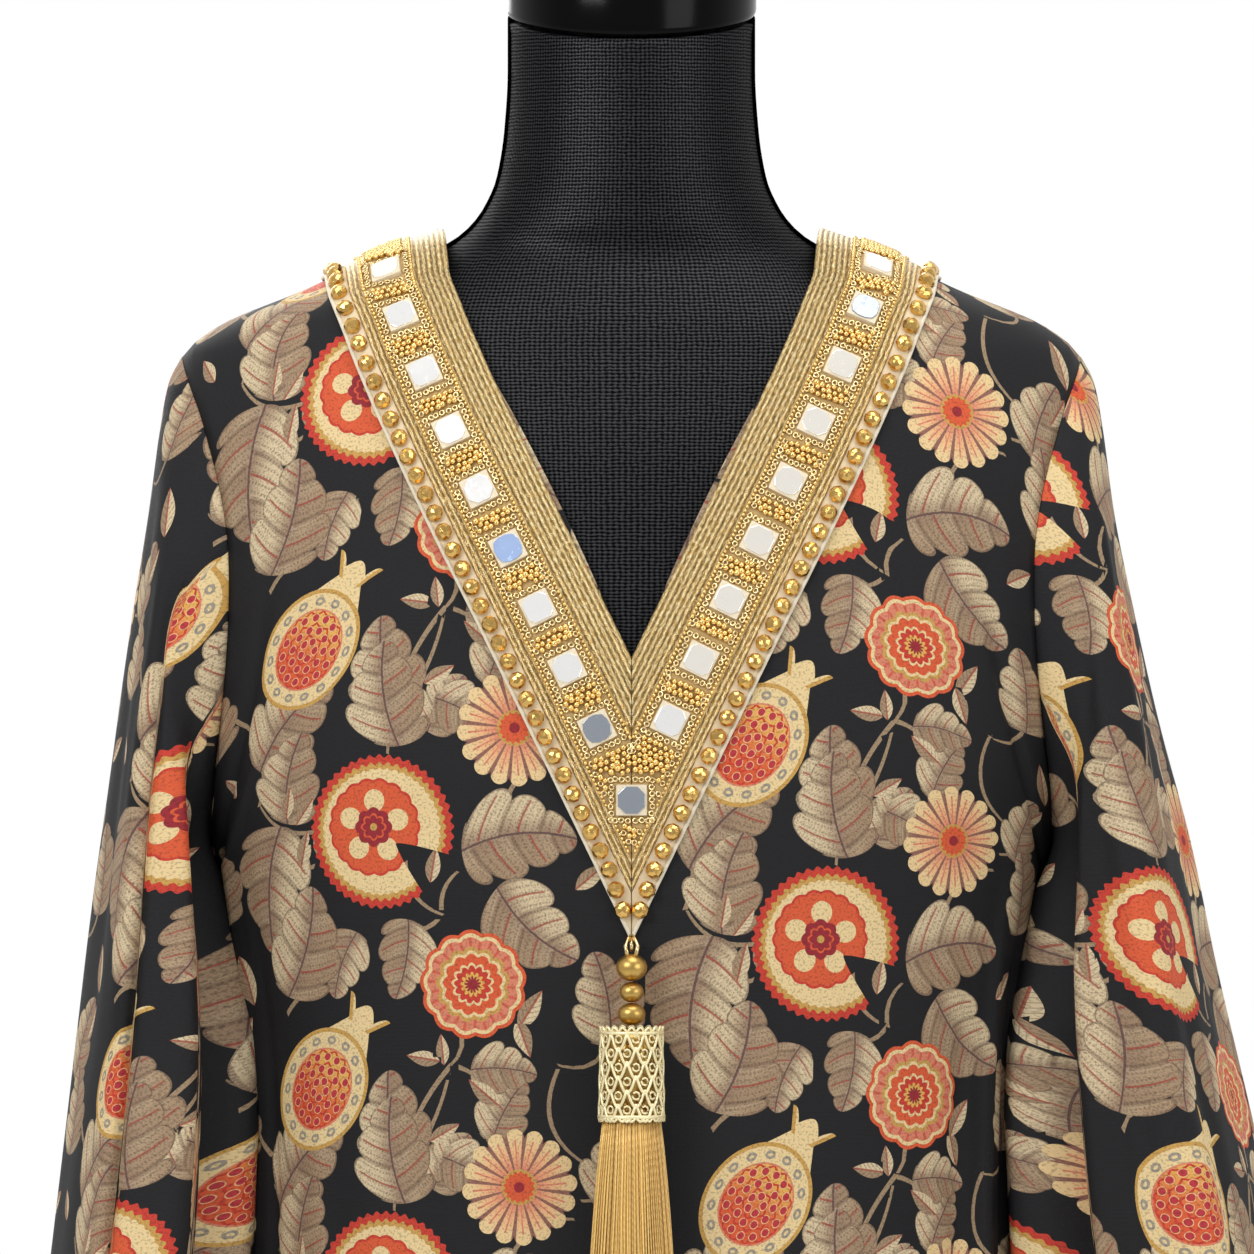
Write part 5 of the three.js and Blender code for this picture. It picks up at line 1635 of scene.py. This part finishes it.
class KAFTAN_OT_panels(bpy.types.Operator):
    """Make the front and back of printed cloth"""
    bl_idname = "kaftan.panels"
    bl_label = "Front and Back"

    def execute(self, context):
        looks = [look("printed cloth"), look("cloth reverse")]
        thick = sizes().cloth_thickness / MM
        for side in ("front", "back"):
            outer, normals, flat, edge = panel(side)
            inner = outer - normals * thick
            keep = np.minimum if side == "front" else np.maximum
            inner[..., 1] = keep(inner[..., 1], edge)
            if side == "back":
                flat = flat * np.array([-1.0, 1.0])
            piece, corners = cloth_wall("cloth_" + side, outer, inner, flat, False, looks)
            print_on(piece, corners, PRINT_START[side])
            belongs(piece, "printed_cloth", side)
        return {"FINISHED"}


class KAFTAN_OT_sleeves(bpy.types.Operator):
    """Make the two wide sleeves of printed cloth"""
    bl_idname = "kaftan.sleeves"
    bl_label = "Sleeves"

    def execute(self, context):
        looks = [look("printed cloth"), look("cloth reverse")]
        thick = sizes().cloth_thickness / MM
        for sleeve in ("left", "right"):
            outer, normals, flat = sleeve_grid(sleeve)
            inner = outer - normals * thick
            piece, corners = cloth_wall("cloth_sleeve_" + sleeve, outer, inner, flat, True, looks)
            print_on(piece, corners, PRINT_START[sleeve])
            belongs(piece, "printed_cloth", "sleeve_" + sleeve)
        return {"FINISHED"}


class KAFTAN_OT_tapes(bpy.types.Operator):
    """Make the ribbed braid and tape that the neck band is built on"""
    bl_idname = "kaftan.tapes"
    bl_label = "Band Tapes"

    def execute(self, context):
        looks = [look(name) for name in ("braid", "ground", "tape", "piping")]
        for name, sign in (("left", -1), ("right", 1)):
            outer, inner, flat = tape_rows("front", sign, 124)
            piece = make_tape("tape_" + name, outer, inner, flat, looks)
            belongs(piece, "gold_band", "band_" + name)
        left, right = tape_rows("back", -1, 56), tape_rows("back", 1, 56)
        left[2][..., 0] *= -1
        rows = [np.concatenate([a[::-1], b[1:]]) for a, b in zip(left, right)]
        belongs(make_tape("tape_back", *rows, looks), "gold_band", "band_back")
        return {"FINISHED"}


def mirror_looks(sign, number):
    """Which glass a front mirror has; most are plain silver, and the grey, blue and warm glass of single
    mirrors is a painted reflection.
    """
    if sign < 0:
        return {0: "grey glass", 3: "blue glass", 8: "warm glass"}.get(number, "silver glass")
    return {7: "grey glass", 0: "silver glass", 8: "silver glass"}.get(number, "warm glass")


def add_mirror(name, here, turn, glass, cut, node):
    """A mirror plate with cut corners in its thin setting."""
    half = sizes().mirror_size / MM / 2
    frame_shape = plate(half + 0.8, 0.35, 0.9, 3.3, 0.25)
    glass_shape = plate(half, cut, 3.1, 3.9, 0.2)
    parts = [repeat(shape, here[None], turn[None], 1.0) for shape in (frame_shape, glass_shape)]
    points, faces = joined(*parts)
    slots = [0] * len(frame_shape[1]) + [1] * len(glass_shape[1])
    piece = make_piece(name, points, faces, [look("setting"), look(glass)], slots, smooth=False)
    local = np.concatenate([frame_shape[0], glass_shape[0]])[:, :2] * MM
    lay_flat(piece, "band", local[corner_points(piece)])
    belongs(piece, "mirror_glass", node)


class KAFTAN_OT_mirrors(bpy.types.Operator):
    """Set the small mirrors along the middle of the band"""
    bl_idname = "kaftan.mirrors"
    bl_label = "Mirrors"

    def execute(self, context):
        cuts = [4.4, 3.0, 2.4, 4.2, 3.2, 2.8, 2.2, 2.6, 3.6]
        for name, sign in (("left", -1), ("right", 1)):
            for number, length in enumerate(mirror_lengths("front", sign)):
                here, turn = band_frames("front", sign, length, 0.0, 0.0)
                cut = cuts[number if sign < 0 else (number * 4 + 2) % 9]
                add_mirror(f"glass_{name}_{number + 1}", here, turn, mirror_looks(sign, number),
                           cut, f"mirror_{name}_{number + 1}")
                if number < MIRRORS_BACK_SIDE:
                    length = mirror_lengths("back", sign)[number + 1]
                    here, turn = band_frames("back", sign, length, 0.0, 0.0)
                    add_mirror(f"glass_back_{name}_{number + 1}", here, turn, "silver glass",
                               cuts[(number * 2 + 1) % 9], f"mirror_back_{name}_{number + 1}")
        # The mirror at the point has grey glass, a painted reflection.
        for side, height, glass, node in (("front", BAND_LINE["front"][0][1], "grey glass", "mirror_point"),
                                          ("back", BACK_MIDDLE_Z, "silver glass", "mirror_back_middle")):
            point = np.array([0.0, float(body_y(0.0, height, side)), height])
            normal = body_normal(point, side)
            along = np.array([1.0, 0.0, 0.0])
            turn = np.stack([along, np.cross(normal, along), normal], axis=-1)
            add_mirror("glass_" + node, point + normal * 0.3, turn, glass, 3.4, node)
        return {"FINISHED"}


class KAFTAN_OT_beads(bpy.types.Operator):
    """Sew the beads on the band: large ones on its edge, small ones round the mirrors"""
    bl_idname = "kaftan.beads"
    bl_label = "Beads"

    def execute(self, context):
        rng = np.random.default_rng(11)
        large = template(bpy.ops.mesh.primitive_uv_sphere_add, segments=9, ring_count=7, radius=1.0)
        small = template(bpy.ops.mesh.primitive_ico_sphere_add, subdivisions=2, radius=1.0)
        ring = template(bpy.ops.mesh.primitive_torus_add, major_radius=1.12, minor_radius=0.48,
                        major_segments=10, minor_segments=5)
        half = sizes().large_bead / MM / 2
        tiny = sizes().small_bead / MM / 2
        for label, side, sign in (("left", "front", -1), ("right", "front", 1),
                                  ("back_left", "back", -1), ("back_right", "back", 1)):
            lengths = big_beads(side)
            places = np.stack([lengths, bead_out(side, lengths)], axis=-1)
            points, faces = scattered(large, side, sign, places, 2.9, (half, half, half * 0.86),
                                      rng, 0.5)
            piece = make_piece("large_beads_" + label, points, faces, [look("large bead")], smooth=False)
            belongs(piece, "gold_bead")
            field, rings = bead_field(side, sign, rng)
            field, rings = kept_on(side, field), kept_on(side, rings)
            if side == "front":
                field = clear_of_point(field)
                rings = np.concatenate([clear_of_point(rings), self.round_point()])
            edge = (np.abs(field[:, 1]) > 8.4) & (np.abs(field[:, 1]) < 11.2)
            rings = np.concatenate([rings, field[edge]])
            field = field[~edge]
            scales = tiny * rng.uniform(0.86, 1.12, (len(field), 1))
            scales[np.abs(field[:, 1]) > 11.2] *= 0.62
            points, faces = scattered(small, side, sign, field, 2.6, scales * np.ones(3), rng)
            belongs(make_piece("small_beads_" + label, points, faces, [look("small bead")]), "gold_bead")
            points, faces = scattered(ring, side, sign, rings, 2.2, np.ones(3), rng, 0.5)
            belongs(make_piece("ring_beads_" + label, points, faces, [look("ring bead")]), "gold_bead")
        return {"FINISHED"}

    def round_point(self):
        """Places on the band of the ring beads round the mirror at the point."""
        height = BAND_LINE["front"][0][1]
        k = np.array([1.5, 4.5, 7.4])
        side = np.linspace(-8.8, 8.8, 7)
        x = np.concatenate([k, k, np.full(7, 9.0)])
        z = height + np.concatenate([np.full(3, 9.0), np.full(3, -9.0), side])
        up = up_body(x, z, "front")
        grid_length, grid_out = np.meshgrid(np.linspace(-40, 40, 161), np.linspace(-14, 14, 57))
        grid_x, grid_up = on_band("front", grid_length, grid_out)
        found = []
        for one_x, one_up in zip(x, up):
            near = np.argmin((grid_x - one_x) ** 2 + (grid_up - one_up) ** 2)
            found.append((grid_length.flat[near], grid_out.flat[near]))
        return np.array(found)


class KAFTAN_OT_tassel(bpy.types.Operator):
    """Hang the tassel from the point of the neck: loop, beads, openwork cap and threads"""
    bl_idname = "kaftan.tassel"
    bl_label = "Tassel"

    def execute(self, context):
        axis = np.array([0.0, TASSEL_Y])
        turn = 2 * np.pi * np.arange(28) / 28
        path = np.stack([0 * turn, -130.8 + 5.98 * np.cos(turn), -318.2 + 2.6 * np.sin(turn)], axis=-1)
        parts = [swept(path, 0.8, 8, True)]
        for out in (-1, 1):
            cord = [(0, -128.5, -313.8), (1.5 * out, -131.5, -315.4), (2.7 * out, -134.2, -318.6),
                    (1.9 * out, TASSEL_Y, -322.4)]
            parts.append(swept(cord, 0.95, 8))
        belongs(make_piece("loop", *joined(*parts), [look("ring bead")]), "gold_bead", "tassel_loop")
        ball = template(bpy.ops.mesh.primitive_uv_sphere_add, segments=36, ring_count=20, radius=1.0)
        for node, radius, low, high in TASSEL_BEADS:
            points = ball[0] * (radius, radius, (high - low) / 2) + (0.0, TASSEL_Y, (low + high) / 2)
            belongs(make_piece(node.replace("tassel_", "satin_"), points, ball[1], [look("satin bead")]),
                    "gold_bead", node)
        self.cap(axis)
        self.threads(axis)
        return {"FINISHED"}

    def cap(self, axis):
        """Openwork tube of linked scallops, with a scalloped top and foot."""
        parts = []
        around, rows, top, foot = 11, 6, -356.5, -394.0
        step = (top - foot) / rows

        def at(angle, z, grow=0.0):
            radius = 13.6 + 0.7 * (top - z) / (top - foot) + grow
            return [axis[0] + radius * math.cos(angle), axis[1] + radius * math.sin(angle), z]

        pitch = 2 * math.pi / around
        for row in range(rows):
            for k in range(around):
                start = pitch * (k + (0.5 if row % 2 else 0.0))
                arc = [at(start + pitch * t, top - step * (row + 1.25 * math.sin(math.pi * t)))
                       for t in np.linspace(0, 1, 11)]
                parts.append(swept(arc, 0.72, 6))
                middle = top - step * (row + 0.42)
                eye = [at(start + pitch * (0.5 + 0.2 * math.cos(a)), middle + 1.7 * math.sin(a))
                       for a in np.linspace(0, 2 * math.pi, 9)[:-1]]
                parts.append(swept(eye, 0.52, 5, True))
        for z, thick in ((top, 0.85), (foot + 0.4, 0.9)):
            rim = [at(a, z) for a in np.linspace(0, 2 * math.pi, 61)[:-1]]
            parts.append(swept(rim, thick, 7, True))
        for k in range(around * 2):
            start = pitch * k / 2
            leaf = [at(start + pitch / 2 * t, top + 2.4 * math.sin(math.pi * t), 0.5 * math.sin(math.pi * t))
                    for t in np.linspace(0, 1, 8)]
            parts.append(swept(leaf, 0.6, 5))
            frill = [at(start + pitch / 2 * t, foot + 0.4 - 1.9 * math.sin(math.pi * t))
                     for t in np.linspace(0, 1, 8)]
            parts.append(swept(frill, 0.7, 5))
        points, faces = joined(*parts)
        belongs(make_piece("openwork", points, faces, [look("cap")]), "pierced_cap", "tassel_cap")
        rng = np.random.default_rng(5)
        ball = template(bpy.ops.mesh.primitive_ico_sphere_add, subdivisions=2, radius=1.0)
        count = 170
        angle = rng.uniform(0, 2 * math.pi, count)
        z = rng.uniform(foot + 3, top - 2, count)
        places = np.stack([axis[0] + 11.3 * np.cos(angle), axis[1] + 11.3 * np.sin(angle), z], axis=-1)
        turns = np.broadcast_to(np.eye(3), (count, 3, 3))
        beads = repeat(ball, places, turns, rng.uniform(1.0, 1.5, (count, 1)) * np.ones(3))
        core = [(4.5, -354.6), (9.0, -356.5), (11.0, -361.0), (11.0, -392.0), (8.0, -393.0)]
        points, faces = joined(beads, turned_shape(core, 40, axis))
        belongs(make_piece("cap_beads", points, faces, [look("satin bead")]), "gold_bead")

    def threads(self, axis):
        """Close hanging threads, spread wider than deep, over a solid middle."""
        rng = np.random.default_rng(7)
        count = sizes().threads
        golden_turn, top, foot, top_reach, foot_reach = 2.399963, -392.0, -512.0, 12.3, 22.6
        along = np.linspace(0, 1, 9)
        parts, tints, lengths = [], [], []
        for k in range(count):
            angle = golden_turn * k
            share = ((k + 0.5) / count) ** 0.35
            wave = rng.uniform(-1, 1, 3)
            end = foot + rng.uniform(-3.6, 3.6)
            radius = share * (top_reach + (foot_reach - top_reach) * along ** 0.85)
            x = axis[0] + radius * math.cos(angle) + 0.55 * wave[0] * np.sin(2.2 * math.pi * along) * along
            flat = 1 - 0.5 * smoothstep(along / 0.8)
            y = axis[1] + radius * math.sin(angle) * flat + 0.4 * wave[1] * np.sin(3 * along + wave[2])
            z = top + (end - top) * along
            points, faces = swept(np.stack([x, y, z], axis=-1), 0.50 - 0.10 * along, 4)
            parts.append((points, faces))
            tints.append(np.full(len(points), rng.uniform(0, 1)))
            lengths.append(np.stack([np.tile(np.arange(4) * 0.0004, 9) + 0.003 * k,
                                     np.repeat((along * 0.12), 4)], axis=-1))
        heart = [(12.4, -390.5), (12.6, -396.0), (13.4, -410.0), (15.5, -440.0), (17.4, -470.0),
                 (19.4, -505.0)]
        middle_points, middle_faces = turned_shape(heart, 40, axis)
        depth = smoothstep((top - middle_points[:, 2]) / 90.0)
        middle_points[:, 1] = axis[1] + (middle_points[:, 1] - axis[1]) * (1 - 0.52 * depth) * 0.94
        parts.append((middle_points, middle_faces))
        # Painted shade: the solid middle gets a low tint, so it is darker, standing in for the shaded threads
        # inside.
        tints.append(np.full(len(middle_points), 0.1))
        lengths.append(middle_points[:, [0, 2]] * MM)
        points, faces = joined(*parts)
        piece = make_piece("threads", points, faces, [look("silk")])
        lay_flat(piece, "thread", np.concatenate(lengths)[corner_points(piece)])
        tint = piece.data.attributes.new("tint", "FLOAT_VECTOR", "POINT")
        values = np.repeat(np.concatenate(tints)[:, None], 3, axis=1)
        tint.data.foreach_set("vector", values.astype(np.float32).ravel())
        belongs(piece, "tassel_thread", "tassel_threads")


class KAFTAN_OT_form(bpy.types.Operator):
    """Make the plain dress form that the kaftan rests on, with its gloss neck cap"""
    bl_idname = "kaftan.form"
    bl_label = "Dress Form"

    def execute(self, context):
        steps, sides = 190, 112
        z = np.linspace(FORM_RINGS[-1, 0], FORM_RINGS[0, 0], steps)
        half, front, back, tilt = (Curve(FORM_RINGS[:, 0], FORM_RINGS[:, k])(z)[:, None] for k in range(1, 5))
        turn = (2 * np.pi * np.arange(sides) / sides)[None, :]
        reach = np.where(np.sin(turn) < 0, front, back)
        y = reach * signed_power(np.sin(turn), 2 / ROUNDNESS)
        x = half * signed_power(np.cos(turn), 2 / ROUNDNESS)
        grid = np.stack([x, y, z[:, None] + y * NECK_TILT * tilt], axis=-1)
        faces = grid_faces(steps, sides, True).tolist()
        faces.append(list(reversed(range(sides))))
        faces.append([(steps - 1) * sides + k for k in range(sides)])
        piece = make_piece("form", grid.reshape(-1, 3), faces, [look("form cloth")])
        index = corner_points(piece)
        column = (index % sides).astype(float)
        wrapped = column[: (steps - 1) * sides * 4].reshape(-1, 4)
        last = (wrapped.max(axis=1) - wrapped.min(axis=1)) > 2
        wrapped[last] = np.where(wrapped[last] == 0, sides, wrapped[last])
        column[: (steps - 1) * sides * 4] = wrapped.ravel()
        girth = np.linalg.norm(np.roll(grid, -1, axis=1) - grid, axis=-1).sum(axis=1)[index // sides]
        along = np.stack([(column / sides - 0.75) * girth, grid.reshape(-1, 3)[index, 2]], axis=-1)
        lay_flat(piece, "cloth", along * MM)
        belongs(piece, "form_cloth", "form_torso")
        self.neck_cap()
        return {"FINISHED"}

    def neck_cap(self):
        """The gloss cap: a short cylinder with round rims, sheared to the neck's tilt."""
        bpy.ops.object.select_all(action="DESELECT")
        depth = 0.0217
        bpy.ops.mesh.primitive_cylinder_add(vertices=128, radius=0.0565, depth=depth)
        cap = bpy.context.object
        cap.name = "neck_cap"
        rim = cap.modifiers.new("rim", "BEVEL")
        rim.width = 0.0045
        rim.segments = 5
        rim.angle_limit = math.radians(50)
        bpy.ops.object.modifier_apply(modifier=rim.name)
        foot = sizes().shoulder_height + (FORM_RINGS[0, 0] + 0.3) * MM + depth / 2
        for vertex in cap.data.vertices:
            vertex.co.z += foot + vertex.co.y * NECK_TILT
        cap.data.materials.append(look("form gloss"))
        cap.data.polygons.foreach_set("use_smooth", np.ones(len(cap.data.polygons), dtype=bool))
        belongs(cap, "form_gloss", "form_neck_cap")


class KAFTAN_OT_stand(bpy.types.Operator):
    """Make the stand's pole and its round base"""
    bl_idname = "kaftan.stand"
    bl_label = "Stand"

    def execute(self, context):
        low, high = 0.0143, sizes().shoulder_height - 0.6503
        bpy.ops.object.select_all(action="DESELECT")
        bpy.ops.mesh.primitive_cylinder_add(vertices=48, radius=0.014, depth=high - low,
                                            location=(0, 0, (high + low) / 2))
        pole = bpy.context.object
        pole.name = "pole"
        bpy.ops.object.select_all(action="DESELECT")
        bpy.ops.mesh.primitive_cylinder_add(vertices=96, radius=0.190, depth=0.014, location=(0, 0, 0.007))
        base = bpy.context.object
        base.name = "base"
        for piece, width in ((pole, 0.001), (base, 0.0035)):
            bpy.ops.object.select_all(action="DESELECT")
            piece.select_set(True)
            bpy.context.view_layer.objects.active = piece
            bpy.ops.object.transform_apply(location=True, rotation=True, scale=True)
            rim = piece.modifiers.new("rim", "BEVEL")
            rim.width = width
            rim.segments = 4
            bpy.ops.object.modifier_apply(modifier=rim.name)
            piece.data.materials.append(look("stand metal"))
            piece.data.polygons.foreach_set("use_smooth", np.ones(len(piece.data.polygons), dtype=bool))
            belongs(piece, "stand_metal", "stand_pole" if piece is pole else "stand_base")
        return {"FINISHED"}


class KAFTAN_OT_stage(bpy.types.Operator):
    """Lay a pale floor and set the lights and the camera"""
    bl_idname = "kaftan.stage"
    bl_label = "Stage"

    def execute(self, context):
        scene = context.scene
        bpy.ops.object.select_all(action="DESELECT")
        bpy.ops.mesh.primitive_plane_add(size=7.0)
        floor = bpy.context.object
        floor.name = "floor"
        paint = Finish("floor paint", (0.80, 0.80, 0.79), 0.6)
        grain = paint.noise(paint.place(), 40.0, 3.0)
        paint.set("Base Color", paint.mix(grain, (0.76, 0.76, 0.75), (0.83, 0.83, 0.82)))
        floor.data.materials.append(paint.material)
        lamps = [
            ("key", (-1.5, -2.1, 2.5), 1.1, 40.0), ("fill", (1.9, -1.9, 1.7), 1.3, 20.0),
            ("top", (0.2, -0.5, 2.9), 1.0, 14.0), ("rear", (-0.6, 2.2, 2.3), 1.6, 22.0),
        ]
        for name, place, size, power in lamps:
            light = bpy.data.lights.new(name, "AREA")
            light.size = size
            light.energy = power
            lamp = bpy.data.objects.new(name, light)
            lamp.location = place
            aim = Vector((0, 0, 1.2)) - Vector(place)
            lamp.rotation_euler = aim.to_track_quat("-Z", "Y").to_euler()
            scene.collection.objects.link(lamp)
        world = bpy.data.worlds.new("surroundings")
        world.use_nodes = True
        tree = world.node_tree
        light = tree.nodes["Background"]
        where = tree.nodes.new("ShaderNodeTexCoord")
        parts = tree.nodes.new("ShaderNodeSeparateXYZ")
        spread = tree.nodes.new("ShaderNodeMapRange")
        blend = tree.nodes.new("ShaderNodeMix")
        blend.data_type = "RGBA"
        tree.links.new(where.outputs["Generated"], parts.inputs[0])
        tree.links.new(parts.outputs["Y"], spread.inputs["Value"])
        spread.inputs["From Min"].default_value = -0.35
        spread.inputs["From Max"].default_value = 0.35
        tree.links.new(spread.outputs[0], blend.inputs[0])
        blend.inputs[6].default_value = (0.50, 0.50, 0.51, 1)
        blend.inputs[7].default_value = (*sizes().background, 1)
        tree.links.new(blend.outputs[2], light.inputs["Color"])
        light.inputs["Strength"].default_value = 1.0
        scene.world = world
        camera = bpy.data.cameras.new("camera")
        camera.lens = 380.7
        camera.sensor_width = 36.0
        camera.dof.use_dof = False
        viewer = bpy.data.objects.new("camera", camera)
        viewer.location = (-0.002, -6.0, 1.2727)
        viewer.rotation_euler = (math.radians(90), 0, 0)
        scene.collection.objects.link(viewer)
        scene.camera = viewer
        scene.view_settings.view_transform = "Standard"
        return {"FINISHED"}


class KAFTAN_PT_panel(bpy.types.Panel):
    """Sizes and build steps of the kaftan"""
    bl_label = "Embroidered Kaftan"
    bl_idname = "KAFTAN_PT_panel"
    bl_space_type = "VIEW_3D"
    bl_region_type = "UI"
    bl_category = "Kaftan"

    def draw(self, context):
        for name in KaftanSizes.__annotations__:
            self.layout.prop(context.scene.kaftan_sizes, name)
        for step in STEPS:
            self.layout.operator(step.bl_idname)


STEPS = (
    KAFTAN_OT_panels, KAFTAN_OT_sleeves, KAFTAN_OT_tapes, KAFTAN_OT_mirrors, KAFTAN_OT_beads,
    KAFTAN_OT_tassel, KAFTAN_OT_form, KAFTAN_OT_stand, KAFTAN_OT_stage,
)


def register():
    """Makes the settings, the steps and the sidebar's panel known."""
    bpy.utils.register_class(KaftanSizes)
    for item in STEPS + (KAFTAN_PT_panel,):
        bpy.utils.register_class(item)
    bpy.types.Scene.kaftan_sizes = bpy.props.PointerProperty(type=KaftanSizes)


def unregister():
    """Takes them away again."""
    del bpy.types.Scene.kaftan_sizes
    for item in (KAFTAN_PT_panel,) + STEPS[::-1]:
        bpy.utils.unregister_class(item)
    bpy.utils.unregister_class(KaftanSizes)


def main():
    """Makes the settings and steps known, then runs every step."""
    register()
    for step in STEPS:
        group, name = step.bl_idname.split(".")
        getattr(getattr(bpy.ops, group), name)()


if __name__ == "__main__":
    main()
